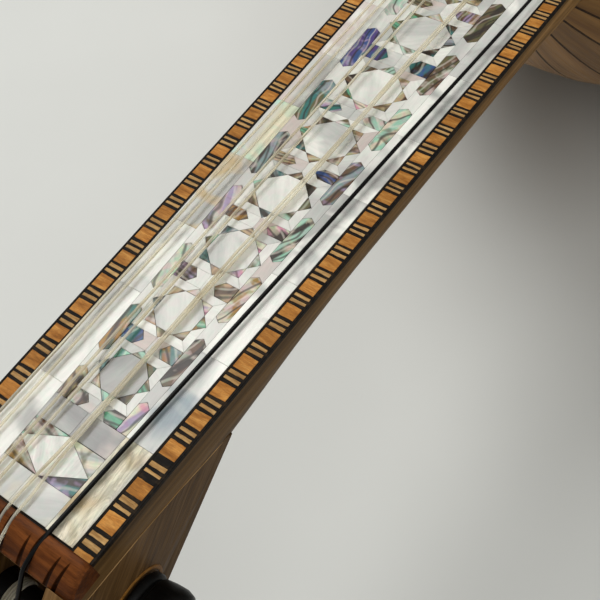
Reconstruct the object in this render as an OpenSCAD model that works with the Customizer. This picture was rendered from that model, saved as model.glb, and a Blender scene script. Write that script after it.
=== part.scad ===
// Short-necked bowl lute with an inlaid fretless fingerboard, a bent-back pegbox and ten friction pegs.
// +X runs from the pegbox to the tail, -Y is the bass side, +Z is up; the lute lies on its bowl.

/* [Fingerboard and neck] */
// Width of the fingerboard at the nut
nut_w = 38; // [34:0.5:46]
// Width that the fingerboard gains over each 100 of its length
board_flare = 7.5; // [6:0.5:10]
// Length of the neck, from the nut to the bowl
neck_len = 206; // [180:1:250]
// Thickness of the fingerboard's wooden base
board_t = 1.2; // [1:0.1:2]
// Thickness of the inlay that covers the base
inlay_t = 1; // [0.6:0.1:1.6]
// Depth of the straight part of the neck's side below the fingerboard
side_drop = 1.4; // [0.6:0.1:3]

/* [Fingerboard inlay] */
// Gap that is left between two neighbouring inlay pieces
joint_gap = 0.14; // [0.08:0.01:0.24]
// Width of each black line beside the marquetry
line_w = 0.58; // [0.4:0.02:0.8]
// Width of the marquetry sticks between their two black lines
stick_w = 3.56; // [3:0.1:4.2]
// Length of one orange block of the marquetry
block_len = 3.3; // [2.6:0.1:4]
// Length of one narrow stick of the marquetry
stick_len = 0.76; // [0.6:0.02:1]
// Length of the cut block at the nut on the bass side
bass_lead = 0.85; // [0.6:0.05:2.6]
// Length of the cut block at the nut on the treble side
treble_lead = 2.2; // [0.6:0.05:2.6]
// Width of the plain pearl band along each side
band_w = 6.36; // [5:0.1:7]
// Length of one plate of the pearl band
plate_len = 22; // [16:1:30]
// Distance from the nut to the middle of the first star
first_star = 29.4; // [29:0.2:36]
// Number of stars along the fingerboard
star_count = 8; // [4:1:8]
// Distance from star to star, as a share of the field's width there
star_pitch = 0.908; // [0.9:0.002:0.93]

/* [Bowl and soundboard] */
// Length of the body, from the neck to the tail
body_len = 480; // [440:1:580]
// Greatest width of the body
body_w = 364; // [320:1:440]
// Number of ribs that make up the bowl
rib_count = 13; // [9:2:21]
// Thickness of the ribs
rib_t = 3; // [2.4:0.1:4]
// Angle that each dark line between two ribs takes up
rib_line_a = 0.3; // [0.2:0.05:0.6]
// Thickness of the soundboard
top_t = 2.2; // [1.6:0.1:3]
// Width of the binding round the soundboard's edge
binding_w = 4; // [2:0.5:6]
// Radius of the large sound hole
rose_r = 52; // [40:1:58]
// Radius of each small sound hole
small_rose_r = 20; // [14:1:22]
// Thickness of the carved roses
rose_t = 2.5; // [1.6:0.1:4]
// Width of the rim by which a rose is glued under the soundboard
rose_lip = 4; // [3:0.5:5]
// Width of the inlaid ring round each sound hole
ring_w = 6; // [4:0.5:8]
// Thickness of the pickguard
guard_t = 0.6; // [0.4:0.1:1.2]
// Length of the pickguard
guard_len = 112; // [80:1:120]
// Width of the pickguard
guard_w = 62; // [40:1:70]
// Height of the soundboard's braces
brace_h = 18; // [10:1:24]
// Width of the soundboard's braces
brace_w = 5; // [3:0.5:7]
// Length of the block inside the bowl that takes the neck
block_depth = 32; // [24:1:45]
// Radius of the opening at the tail that the tail block's boss fills
tail_hole_r = 14; // [10:1:20]
// Radius of the clasp that covers the ends of the ribs at the tail
clasp_r = 42; // [30:1:55]
// Thickness of the tail clasp
clasp_t = 2; // [1.2:0.2:3]

/* [Strings, nut and bridge] */
// Distance from the nut to the bridge
scale_len = 600; // [560:1:625]
// Length of the nut along the strings
nut_len = 6.5; // [6:0.5:7]
// Height of the string's axis above the inlay at the nut
nut_action = 0.8; // [0.7:0.1:1.6]
// Distance from course to course at the nut
nut_pitch = 7.15; // [6:0.05:7.2]
// Distance by which the courses sit towards the bass side at the nut
nut_shift = 1.2; // [0:0.1:1.4]
// Distance between the two strings of a course at the nut
pair_gap = 2.1; // [1.8:0.1:2.4]
// Distance from course to course at the bridge
bridge_pitch = 15.5; // [12:0.5:16]
// Distance by which the courses sit towards the bass side at the bridge
bridge_shift = 6; // [0:0.5:8]
// Distance between the two strings of a course at the bridge
bridge_pair_gap = 3.6; // [3:0.1:4.5]
// Height of the bridge
bridge_h = 10; // [8:0.5:14]
// Length of the bridge along the strings
bridge_t = 12; // [10:1:16]
// Width of the bridge
bridge_w = 110; // [104:1:130]
// Height of the string holes above the soundboard
bridge_action = 6; // [5:0.1:6.2]
// Diameter of the treble strings
string_d = 0.8; // [0.6:0.05:0.9]
// Diameter of the black bass string
bass_string_d = 1.2; // [0.9:0.05:1.3]
// Radius of the string holes and string slots
slot_r = 0.75; // [0.7:0.01:0.9]
// Radius of the knot that holds a string behind the bridge
knot_r = 1.4; // [1.2:0.1:1.6]

/* [Pegbox and pegs] */
// Angle by which the pegbox bends down from the line of the neck
pegbox_angle = 47.3; // [40:0.1:55]
// Length of the pegbox along its open front
pegbox_len = 200; // [196:1:220]
// Depth of the pegbox at the nut
pegbox_depth = 38; // [36:0.5:42]
// Depth of the pegbox at its far end
pegbox_end_depth = 24; // [22:0.5:28]
// Width of the pegbox at its far end
pegbox_end_w = 22; // [21:0.5:28]
// Thickness of the cheeks
cheek_t = 5.5; // [4.5:0.1:6]
// Thickness of the pegbox's back
back_t = 4; // [3:0.5:5]
// Length of the block that closes the pegbox's far end
end_t = 12; // [8:1:12]
// Depth of the neck's scarf below the fingerboard's surface at the nut
scarf_z = 8.2; // [7.5:0.1:10]
// Distance from the nut to the first peg, along the pegbox
first_peg = 12.6; // [12:0.1:15]
// Distance from peg to peg along the pegbox
peg_pitch = 18; // [17:0.1:18]
// Depth of the pegs in the pegbox, as a share of its depth there
peg_share = 0.63; // [0.6:0.01:0.66]
// Radius of the peg in the cheek beside its head
peg_r = 4; // [3.6:0.1:4.4]
// Radius of the peg's tip in the far cheek
peg_tip_r = 3.2; // [2.8:0.1:3.5]
// Running clearance of a peg in its bores
peg_fit = 0.05; // [0.02:0.01:0.08]
// Radius of the peg's collar
collar_r = 6.4; // [5.5:0.1:7.5]
// Radius of the peg's flat head
head_r = 12; // [9:0.5:14]
// Thickness of the peg's flat head
head_t = 8; // [6:0.5:9]
// Gap between a peg's collar and the cheek
collar_gap = 0.6; // [0.6:0.1:1.2]
// Gap between a string and the windings of it that its peg carries
winding_gap = 0.3; // [0.2:0.05:0.5]

/* [Hidden] */
$fn = 96;

body_r = body_w / 2;
core_z = -board_t - inlay_t;                  // top of the neck's core
neck_axis_z = core_z - side_drop;             // axis of the neck's round underside
top_z = 0;                                    // top of the soundboard, level with the inlay
bowl_z = -top_t;                              // axis of the bowl and top of its ribs
wide_x = body_len - body_r;                   // where the body is widest, from the neck joint
neck_end_r = board_w(neck_len) / 2;
root_r = neck_end_r - neck_axis_z + bowl_z;   // radius of the bowl where it meets the neck
flank_rise = body_r - root_r;
flank_r = (wide_x * wide_x + flank_rise * flank_rise) / (2 * flank_rise);
tail_x = neck_len + body_len;
rib_a = 180 / rib_count;
straight_x = -nut_len - pegbox_len * cos(pegbox_angle);
shift_x = -(tail_x + clasp_t + straight_x) / 2;
shift_z = body_r - bowl_z;

edge_w = stick_w + 2 * line_w;
border_w = edge_w + band_w;
marquetry_len = block_len + 5 * stick_len;
inlay_z = -inlay_t;

pegbox_z = -3;                                // height of the pegbox's open front at the nut
nut_rear_z = -3.6;                            // height of the nut's top at its rear edge
nut_seat_z = -5.4;                            // height of the ledge that carries the nut
nut_front_flat = 1.4;
string_rest_x = -nut_len - 0.3;
rest_z = nut_rear_z + 0.6;                    // height of the strings' axis where they leave the nut
groove_t = 0.85;                              // depth of the nut's grooves below the strings' axis
nut_taper = 0.89;                             // spread of the strings behind the nut against that in front
bead = 1.2;                                   // size of the bend in a string against the string itself
pegbox_taper = atan((nut_w - pegbox_end_w) / 2 / pegbox_len);
reach = 600;                                  // longer than any cut needs to be
eps = 0.01;
column_share = 0.17;                          // length of the strip between two tiles, as a share of the field's width
end_plate_len = 6;                            // least length of the plates between the last strip and the body
block_gap = 0.05;                             // glue between a block and the ribs
winding_w = 4;
winding_layer = 0.8;
peg_hole_r = 0.9;
collar_len = 5;
peg_neck_r = 3.4;
peg_neck_len = 13;

bridge_x = scale_len;
brace_x = [50, 94, 232, 294, 336, 378];       // places of the braces, from the neck joint
rose_x = 170;
small_rose_x = 262;
small_rose_y = 74;
guard_x = 314;

// Which course slot each string takes at the nut, which hole at the bridge, and which peg
string_slots = [1, 2, 3, 4, 5, 6, 8];
string_holes = [1, 2, 3, 4, 5, 6, 10];
string_pegs = [2, 4, 6, 8, 10, 9, 5];

function board_w(x) = nut_w + board_flare * x / 100;
function field_w(x) = board_w(x) - 2 * border_w;
function star_x(k) = k == 0 ? first_star : star_x(k - 1) + star_pitch * field_w(star_x(k - 1));
// The stars' run is drawn together when the board is too short for it, and the field's width is read where each
// piece is laid
stars_end = star_x(star_count - 1) + field_w(star_x(star_count - 1)) * (0.5 / sqrt(2) + column_share);
stars_fill = min(1, (neck_len - end_plate_len - first_star) / (stars_end - first_star));
function laid_x(x) = first_star + (x - first_star) * stars_fill;
function laid_w(x) = field_w(laid_x(x));
function laid(points) = [for (p = points) [laid_x(p.x), p.y]];
function star_size(k) = laid_w(star_x(k)) / 2;
function tile_half(k) = star_size(k) / sqrt(2);
function unit(v) = v / norm(v);
function corner(a, b, c, g) =
    let (u = unit(b - a), v = unit(c - b), m = [-u.y, u.x], n = [-v.y, v.x]) b + (m + n) * g / (1 + m * n);
function inset(points, g) =
    [for (i = [0 : len(points) - 1])
        corner(points[(i + len(points) - 1) % len(points)], points[i], points[(i + 1) % len(points)], g)];
function mirrored(points) = [for (i = [len(points) - 1 : -1 : 0]) [points[i].x, -points[i].y]];
function inner_half(s) = s < wide_x
    ? body_r - flank_r + sqrt((flank_r - rib_t) ^ 2 - (wide_x - s) ^ 2)
    : sqrt((body_r - rib_t) ^ 2 - (s - wide_x) ^ 2);

// Slots are numbered 1 to 10 from the treble edge; two neighbours make a course
function course_y(slot, shift, pitch, gap) =
    -shift + (2 - floor((slot - 1) / 2)) * pitch + (slot % 2 == 1 ? gap / 2 : -gap / 2);
function nut_y(slot) = course_y(slot, nut_shift, nut_pitch, pair_gap);
function hole_y(hole) = course_y(hole, bridge_shift, bridge_pitch, bridge_pair_gap);
function string_dia(s) = s == 7 ? bass_string_d : string_d;
function nut_point(slot) = [-nut_front_flat / 2, nut_y(slot), nut_action];
function rest_point(slot) = [string_rest_x, nut_y(slot) * nut_taper, rest_z];
function bridge_point(hole) = [bridge_x, hole_y(hole), top_z + bridge_action];
function hole_dir(hole) =
    let (held = search(hole, string_holes), slot = len(held) == 0 ? hole : string_slots[held[0]])
        unit(bridge_point(hole) - nut_point(slot));

// Pegbox places: p runs down the pegbox, q from its open front to its back
function to_p(x, z) = -(x + nut_len) * cos(pegbox_angle) - (z - pegbox_z) * sin(pegbox_angle);
function to_q(x, z) = (x + nut_len) * sin(pegbox_angle) - (z - pegbox_z) * cos(pegbox_angle);
function to_x(p, q) = -nut_len - p * cos(pegbox_angle) + q * sin(pegbox_angle);
function to_z(p, q) = pegbox_z - p * sin(pegbox_angle) - q * cos(pegbox_angle);
function pegbox_d(p) = pegbox_depth + (pegbox_end_depth - pegbox_depth) * p / pegbox_len;
function cheek_y(p) = nut_w / 2 - p * tan(pegbox_taper);
function cavity_y(p) = cheek_y(p) - cheek_t / cos(pegbox_taper);
function peg_p(k) = first_peg + (k - 1) * peg_pitch;
function peg_q(k) = peg_share * pegbox_d(peg_p(k));
function winding_y(s) = nut_y(string_slots[s - 1]) / 2;

// The scarf between neck and pegbox, drawn as a side view from the nut to the heel of the scarf
scarf = [[-nut_len, -scarf_z], [10, -scarf_z - 0.2], [20, -scarf_z - 0.9], [34, -scarf_z - 3.5]];
scarf_end_p = to_p(36, -13);
pegbox_far = 2 * scarf_end_p;                 // well past the pegbox's end under the neck
scarf_pq = concat([for (v = scarf) [to_p(v.x, v.y), to_q(v.x, v.y)]],
    [[scarf_end_p, pegbox_d(scarf_end_p)]]);

module placed() {
    translate([shift_x, 0, shift_z])
        children();
}

module in_pegbox() {
    translate([-nut_len, 0, pegbox_z])
        rotate([0, 180 - pegbox_angle, 0])
            children();
}

// Extrudes a side view, drawn in X and Z, to a width centred on y = 0
module side_view(width) {
    translate([0, width / 2, 0])
        rotate([90, 0, 0])
            linear_extrude(width)
                children();
}

module rod(from, to, r) {
    along = to - from;
    translate(from)
        rotate([0, acos(along.z / norm(along)), atan2(along.y, along.x)])
            cylinder(h = norm(along), r = r);
}

// ---- Bowl and soundboard ----

module body_outline(inset_by = 0) {
    intersection() {
        translate([wide_x, flank_r - body_r])
            circle(flank_r - inset_by);
        translate([wide_x, body_r - flank_r])
            circle(flank_r - inset_by);
        translate([0, -body_r])
            square([wide_x, body_w]);
    }
    intersection() {
        translate([wide_x, 0])
            circle(body_r - inset_by);
        translate([wide_x - eps, -body_r])
            square([body_r + eps, body_w]);
    }
}

// Half of the body's outline, turned so that its length runs along Y for a turned solid
module outline_half(inset_by = 0) {
    intersection() {
        rotate(90)
            mirror([0, 1])
                body_outline(inset_by);
        square([body_r, body_len]);
    }
}

module bowl_turned(start, angle) {
    translate([neck_len, 0, bowl_z])
        rotate([0, 90, 0])
            rotate(start)
                rotate_extrude(angle = angle)
                    children();
}

module rib_section() {
    intersection() {
        difference() {
            outline_half();
            outline_half(rib_t);
        }
        union() {
            square([body_r, wide_x]);
            translate([tail_hole_r, 0])
                square([body_r, body_len]);
        }
    }
}

module bowl_ribs() {
    color("sienna")
        placed()
            for (i = [0 : rib_count - 1])
                bowl_turned(-90 + i * rib_a + (i == 0 ? 0 : rib_line_a / 2),
                    rib_a - (i == 0 || i == rib_count - 1 ? rib_line_a / 2 : rib_line_a))
                    rib_section();
}

module rib_lines() {
    color("black")
        placed()
            for (i = [1 : rib_count - 1])
                bowl_turned(-90 + i * rib_a - rib_line_a / 2, rib_line_a)
                    rib_section();
}

module neck_block() {
    color("burlywood")
        placed()
            bowl_turned(-90, 180)
                intersection() {
                    outline_half(rib_t + block_gap);
                    square([body_r, block_depth]);
                }
}

module below_top(x_from, x_to, half_y, depth) {
    translate([x_from, -half_y, bowl_z - depth])
        cube([x_to - x_from, 2 * half_y, depth]);
}

module tail_block() {
    block_t = 16;
    color("burlywood")
        placed()
            union() {
                intersection() {
                    translate([neck_len + wide_x, 0, bowl_z])
                        sphere(body_r - rib_t - block_gap);
                    below_top(tail_x - rib_t - block_t, tail_x, 36, 36);
                }
                intersection() {
                    translate([neck_len + wide_x, 0, bowl_z])
                        sphere(body_r);
                    below_top(tail_x - rib_t - block_t / 2, tail_x, tail_hole_r, tail_hole_r);
                    translate([neck_len, 0, bowl_z])
                        rotate([0, 90, 0])
                            cylinder(h = body_len, r = tail_hole_r);
                }
            }
}

module tail_clasp() {
    color("saddlebrown")
        placed()
            intersection() {
                difference() {
                    translate([neck_len + wide_x, 0, bowl_z])
                        sphere(body_r + clasp_t);
                    translate([neck_len + wide_x, 0, bowl_z])
                        sphere(body_r);
                }
                below_top(neck_len + wide_x + body_r / 2, tail_x + 2 * clasp_t, clasp_r, clasp_r);
                translate([neck_len + wide_x, 0, bowl_z])
                    rotate([0, 90, 0])
                        cylinder(h = body_r + 2 * clasp_t, r = clasp_r);
            }
}

module sound_holes(grow = 0) {
    translate([rose_x, 0])
        circle(rose_r + grow);
    for (side = [-1, 1])
        translate([small_rose_x, side * small_rose_y])
            circle(small_rose_r + grow);
}

module soundboard_half(side) {
    placed()
        translate([neck_len, 0, bowl_z])
            linear_extrude(top_t)
                difference() {
                    intersection() {
                        body_outline(binding_w);
                        translate([0, side > 0 ? 0 : -body_r])
                            square([body_len, body_r]);
                    }
                    sound_holes(ring_w);
                }
}

module soundboard_bass() {
    color("wheat")
        soundboard_half(-1);
}

module soundboard_treble() {
    color("wheat")
        soundboard_half(1);
}

module edge_binding() {
    color("saddlebrown")
        placed()
            translate([neck_len, 0, bowl_z])
                linear_extrude(top_t)
                    difference() {
                        body_outline();
                        body_outline(binding_w);
                    }
}

module soundboard_braces() {
    color("wheat")
        placed()
            for (s = brace_x) {
                inner_r = min(inner_half(s - brace_w / 2), inner_half(s + brace_w / 2));
                half = sqrt(inner_r * inner_r - brace_h * brace_h) - 0.3;
                translate([neck_len + s - brace_w / 2, -half, bowl_z - brace_h])
                    cube([brace_w, 2 * half, brace_h]);
            }
}

// Carved fretwork of a rose: rings, spokes and small openings, cut from one disc
module rose_fretwork(r, petals) {
    bar = r / 26;
    difference() {
        circle(r);
        for (i = [0 : petals - 1])
            rotate(i * 360 / petals) {
                translate([r * 0.80, 0])
                    circle(r * 0.115);
                rotate(180 / petals)
                    translate([r * 0.62, 0])
                        circle(r * 0.09);
                translate([r * 0.44, 0])
                    circle(r * 0.075);
                rotate(180 / petals)
                    translate([r * 0.27, 0])
                        circle(bar);
            }
    }
}

module rose(r, petals) {
    translate([0, 0, bowl_z - rose_t])
        linear_extrude(rose_t) {
            rose_fretwork(r, petals);
            difference() {
                circle(r + rose_lip);
                circle(r - eps);
            }
        }
}

module large_rose() {
    color("peru")
        placed()
            translate([neck_len + rose_x, 0, 0])
                rose(rose_r, 16);
}

module small_roses() {
    color("peru")
        placed()
            for (side = [-1, 1])
                translate([neck_len + small_rose_x, side * small_rose_y, 0])
                    rose(small_rose_r, 10);
}

module rose_rings() {
    color("black")
        placed()
            translate([neck_len, 0, bowl_z])
                linear_extrude(top_t)
                    difference() {
                        sound_holes(ring_w);
                        sound_holes();
                    }
}

module pickguard() {
    arc_r = (guard_len * guard_len + guard_w * guard_w) / (4 * guard_w);
    color("saddlebrown")
        placed()
            translate([neck_len + guard_x, 0, top_z])
                linear_extrude(guard_t)
                    intersection() {
                        translate([0, arc_r - guard_w / 2])
                            circle(arc_r);
                        translate([0, guard_w / 2 - arc_r])
                            circle(arc_r);
                    }
}

module bridge() {
    shoulder = 3;
    color("saddlebrown")
        placed()
            difference() {
                side_view(bridge_w)
                    polygon([[bridge_x, top_z], [bridge_x + bridge_t, top_z],
                        [bridge_x + bridge_t, top_z + bridge_h - shoulder],
                        [bridge_x + bridge_t - shoulder, top_z + bridge_h],
                        [bridge_x + 1, top_z + bridge_h], [bridge_x, top_z + bridge_h - 1]]);
                for (hole = [1 : 10])
                    rod(bridge_point(hole) - hole_dir(hole) * 2, bridge_point(hole) + hole_dir(hole) * (bridge_t + 2),
                        slot_r);
            }
}

// ---- Neck and fingerboard ----

module board_plan(x_from, x_to, half_from, half_to) {
    polygon([[x_from, -half_from], [x_to, -half_to], [x_to, half_to], [x_from, half_from]]);
}

module fingerboard() {
    color("saddlebrown")
        placed()
            translate([0, 0, core_z])
                linear_extrude(board_t)
                    board_plan(0, neck_len, nut_w / 2, board_w(neck_len) / 2);
}

module pegbox_side_view() {
    polygon([for (v = concat(scarf_pq, [[pegbox_len, pegbox_end_depth], [pegbox_len, 0], [0, 0]]))
        [to_x(v.x, v.y), to_z(v.x, v.y)]]);
}

module neck_core() {
    color("peru")
        placed()
            difference() {
                union() {
                    translate([0, 0, neck_axis_z])
                        linear_extrude(side_drop)
                            board_plan(-nut_len, neck_len, board_w(-nut_len) / 2, board_w(neck_len) / 2);
                    intersection() {
                        translate([-nut_len, 0, neck_axis_z])
                            rotate([0, 90, 0])
                                cylinder(h = neck_len + nut_len, r1 = board_w(-nut_len) / 2, r2 = neck_end_r);
                        translate([-nut_len, -reach / 2, neck_axis_z - reach / 2])
                            cube([neck_len + nut_len, reach, reach / 2]);
                    }
                }
                side_view(reach)
                    pegbox_side_view();
                translate([-nut_len - 1, -nut_w, nut_seat_z])
                    cube([nut_len + 1, 2 * nut_w, reach]);
            }
}

// A groove with a flat floor below the string, in line with the string's way over the nut
module nut_groove(slot) {
    way = nut_point(slot) - rest_point(slot);
    drop = nut_action - rest_z;
    translate([nut_point(slot).x, nut_point(slot).y, 0])
        rotate([0, 0, atan2(way.y, way.x)])
            side_view(2 * slot_r)
                polygon([[nut_len, nut_action - groove_t], [nut_len, nut_len], [-2 * nut_len, nut_len],
                    [-2 * nut_len, nut_action - groove_t - drop * 2 * nut_len / norm([way.x, way.y])],
                    [0, nut_action - groove_t]]);
}

module nut() {
    color("saddlebrown")
        placed()
            difference() {
                side_view(nut_w)
                    polygon([[-nut_len, nut_seat_z], [0, nut_seat_z], [0, nut_action], [-nut_front_flat, nut_action],
                        [-nut_len * 0.6, nut_action - 1.2], [-nut_len * 0.86, nut_rear_z + 1.5],
                        [-nut_len, nut_rear_z]]);
                for (slot = [1 : 10])
                    nut_groove(slot);
            }
}

// ---- Fingerboard inlay ----

module inlay(points) {
    translate([0, 0, inlay_z])
        linear_extrude(inlay_t)
            polygon(inset(points, joint_gap / 2));
}

// A four-sided piece that follows the flare: its edges lie at fixed distances from the board's treble edge
function edge_piece(x_from, x_to, out, in) = [
    [x_from, board_w(x_from) / 2 - in], [x_to, board_w(x_to) / 2 - in],
    [x_to, board_w(x_to) / 2 - out], [x_from, board_w(x_from) / 2 - out]];

module both_edges(points) {
    inlay(points);
    inlay(mirrored(points));
}

module marquetry_lines() {
    color("black")
        placed() {
            both_edges(edge_piece(0, neck_len, 0, line_w));
            both_edges(edge_piece(0, neck_len, edge_w - line_w, edge_w));
        }
}

// One stick or block of the marquetry on one edge, cut off at the neck's end
module marquetry_piece(side, x, length) {
    x_to = min(x + length, neck_len);
    points = edge_piece(x, x_to, line_w, edge_w - line_w);
    if (x_to > x + 3 * joint_gap)
        inlay(side > 0 ? points : mirrored(points));
}

// The pattern starts with a cut block at the nut, which is shorter on the bass side
function marquetry_lead(side) = side < 0 ? bass_lead : treble_lead;

module marquetry_row(offset, length) {
    for (side = [-1, 1])
        for (x = [marquetry_lead(side) + offset : marquetry_len : neck_len])
            marquetry_piece(side, x, length);
}

module marquetry_blocks() {
    color("darkorange")
        placed() {
            for (side = [-1, 1])
                marquetry_piece(side, 0, marquetry_lead(side));
            marquetry_row(5 * stick_len, block_len);
        }
}

module marquetry_light_sticks() {
    color("tan")
        placed()
            for (i = [1, 3])
                marquetry_row(i * stick_len, stick_len);
}

module marquetry_dark_sticks() {
    color("black")
        placed()
            for (i = [0, 2, 4])
                marquetry_row(i * stick_len, stick_len);
}

module pearl_bands() {
    plates = round(neck_len / plate_len);
    color("white")
        placed()
            for (i = [0 : plates - 1])
                both_edges(edge_piece(i * neck_len / plates, (i + 1) * neck_len / plates, edge_w, border_w));
}

function star_corner(k, a) = [star_x(k), 0] + tile_half(k) * [cos(a), sin(a)];
function octagon_corner(k, a) = [star_x(k), 0] + star_size(k) / 2 / cos(22.5) * [cos(a), sin(a)];

module star_centres() {
    color("snow")
        placed()
            for (k = [0 : star_count - 1])
                inlay(laid([for (i = [0 : 7]) octagon_corner(k, 22.5 + 45 * i)]));
}

module star_points() {
    color("darkseagreen")
        placed()
            for (k = [0 : star_count - 1])
                for (a = [0 : 45 : 315])
                    inlay(laid([octagon_corner(k, a - 22.5), star_corner(k, a), octagon_corner(k, a + 22.5)]));
}

// One eighth of the ground round a star, between the star and one end of the tile's long or cross side
module ground_piece(k, end, along) {
    h = tile_half(k);
    x = star_x(k) + end * h;
    tile_corner = [x, row_y(x)];
    star_tip = [star_x(k) + end * star_size(k) / 2, star_size(k) / 2];
    notch = octagon_corner(k, 90 - end * (along ? 22.5 : 67.5));
    middle = along ? [star_x(k), h] : [x, 0];
    points = [middle, notch, star_tip, tile_corner];
    turned = (end > 0) == along ? points : [for (i = [3 : -1 : 0]) points[i]];
    both_edges(laid(turned));
}

house_len = 0.24;                             // length of a house and of a long bar as shares of the field's width
house_wall = 0.7;
side_bar_len = 0.67;
bar_point = 0.055;

// Ends of the strip between two tiles: from the last tile's edge to the next one's
function column_from(k) = k == 0 ? star_x(0) - tile_half(0) - column_w(0) : star_x(k - 1) + tile_half(k - 1);
function column_to(k) = k == star_count ? column_from(k) + column_w(k) : star_x(k) - tile_half(k);
function column_w(k) = column_share * field_w(k == 0 ? first_star : star_x(k - 1));
function column_mid(k) = (column_from(k) + column_to(k)) / 2;
function row_y(x) = laid_w(x) * 0.5 / sqrt(2);

function house(k) =
    let (x0 = column_from(k), x1 = column_to(k), m = column_mid(k), l = house_len * laid_w(m))
        [[x0, row_y(x0)], [x0, row_y(x0) - house_wall * l], [m, row_y(m) - l], [x1, row_y(x1) - house_wall * l],
         [x1, row_y(x1)]];

// A place in the side row: low on the tiles' edge, high on the pearl band, or halfway between
function row_low(x) = [x, row_y(x)];
function row_high(x) = [x, laid_w(x) / 2];
function row_mid(x) = (row_low(x) + row_high(x)) / 2;

// Ends and shoulders of a long bar; the first and last bars are cut square at the columns they stand in
function bar_from(k) = k == 0 ? column_from(k) : column_mid(k) - side_bar_len * laid_w(column_mid(k)) / 2;
function bar_to(k) = k == star_count ? column_to(k) : column_mid(k) + side_bar_len * laid_w(column_mid(k)) / 2;
function bar_tip(k) = bar_point * laid_w(column_mid(k));
function side_bar(k) =
    let (x0 = bar_from(k), x1 = bar_to(k), t0 = k == 0 ? 0 : bar_tip(k), t1 = k == star_count ? 0 : bar_tip(k))
        concat(t0 > 0 ? [row_mid(x0)] : [], [row_low(x0 + t0), row_low(x1 - t1)],
            t1 > 0 ? [row_mid(x1)] : [], [row_high(x1 - t1), row_high(x0 + t0)]);

module house_bars() {
    color("mediumaquamarine")
        placed()
            for (k = [0 : star_count])
                both_edges(laid(house(k)));
}

module side_bars() {
    color("cadetblue")
        placed()
            for (k = [0 : star_count])
                both_edges(laid(side_bar(k)));
}

// White pearl between two houses, and between two side bars
module column_ground(k) {
    walls = laid([for (i = [3 : -1 : 1]) house(k)[i]]);
    inlay(concat(mirrored(walls), walls));
}

module row_ground(k) {
    x0 = bar_to(k);
    x1 = bar_from(k + 1);
    both_edges(laid([row_mid(x0), row_low(x0 - bar_tip(k)), row_low(x1 + bar_tip(k + 1)), row_mid(x1),
        row_high(x1 + bar_tip(k + 1)), row_high(x0 - bar_tip(k))]));
}

panel_from = 6.2;                             // ends of the rhombus panel, from the nut
panel_to = 14.8;

module cross_plate(x_from, x_to) {
    pieces = 3;
    for (i = [0 : pieces - 1]) {
        a = -0.5 + i / pieces;
        b = -0.5 + (i + 1) / pieces;
        inlay([[x_from, a * field_w(x_from)], [x_to, a * field_w(x_to)], [x_to, b * field_w(x_to)],
            [x_from, b * field_w(x_from)]]);
    }
}

module pearl_ground() {
    color("whitesmoke")
        placed() {
            for (k = [0 : star_count - 1])
                for (end = [-1, 1])
                    for (along = [false, true])
                        ground_piece(k, end, along);
            for (k = [0 : star_count])
                column_ground(k);
            for (k = [0 : star_count - 1])
                row_ground(k);
            cross_plate(0, panel_from);
            cross_plate(panel_to, laid_x(column_from(0)));
            cross_plate(laid_x(column_to(star_count)), neck_len);
        }
}

// The rhombus panel by the nut, each quarter split into a white piece and a coloured corner
module panel_diamonds() {
    mid = (panel_from + panel_to) / 2;
    left = [panel_from, 0];
    right = [panel_to, 0];
    color("thistle")
        placed() {
            both_edges([[mid, 0], right, [mid, field_w(mid) / 2]]);
            both_edges([left, [mid, 0], [mid, field_w(mid) / 2]]);
            both_edges([right, [panel_to, field_w(panel_to) / 2], [mid, field_w(mid) / 2]]);
            both_edges([left, [mid, field_w(mid) / 2], [panel_from, field_w(panel_from) / 2]]);
        }
}

// ---- Pegbox ----

module cheek(side) {
    placed()
        in_pegbox()
            difference() {
                intersection() {
                    side_view(2 * nut_w)
                        polygon(concat(scarf_pq, [[pegbox_len, pegbox_end_depth], [pegbox_len, 0], [0, 0]]));
                    translate([0, 0, -1])
                        linear_extrude(2 * pegbox_depth)
                            polygon([for (v = [[pegbox_far, 1], [pegbox_len, 1], [pegbox_len, 0], [pegbox_far, 0]])
                                [v.x, side * (v.y == 1 ? cheek_y(v.x) : cavity_y(v.x))]]);
                }
                for (k = [1 : 10])
                    translate([peg_p(k), 0, peg_q(k)])
                        rotate([-side * 90, 0, 0])
                            cylinder(h = nut_w, r = (is_near(k, side) ? peg_r : peg_tip_r) + peg_fit);
            }
}

// Odd pegs have their heads on the bass side, even pegs on the treble side
function is_near(k, side) = (k % 2 == 1) == (side < 0);

module cheek_bass() {
    color("rosybrown")
        cheek(-1);
}

module cheek_treble() {
    color("rosybrown")
        cheek(1);
}

module between_cheeks() {
    translate([0, 0, -1])
        linear_extrude(2 * pegbox_depth)
            board_plan(pegbox_far, pegbox_len, cavity_y(pegbox_far), cavity_y(pegbox_len));
}

module cavity_piece(points) {
    placed()
        in_pegbox()
            intersection() {
                side_view(2 * nut_w)
                    polygon(points);
                between_cheeks();
            }
}

module pegbox_tongue() {
    color("peru")
        cavity_piece(concat(scarf_pq, [[scarf_pq[0].x, pegbox_d(scarf_pq[0].x)]]));
}

module pegbox_back() {
    start = scarf_pq[0].x;
    stop = pegbox_len - end_t;
    color("rosybrown")
        cavity_piece([[start, pegbox_d(start) - back_t], [stop, pegbox_d(stop) - back_t], [stop, pegbox_d(stop)],
            [start, pegbox_d(start)]]);
}

module pegbox_end() {
    start = pegbox_len - end_t;
    color("saddlebrown")
        cavity_piece([[start, 0], [pegbox_len, 0], [pegbox_len, pegbox_end_depth], [start, pegbox_d(start)]]);
}

// ---- Pegs ----

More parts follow.
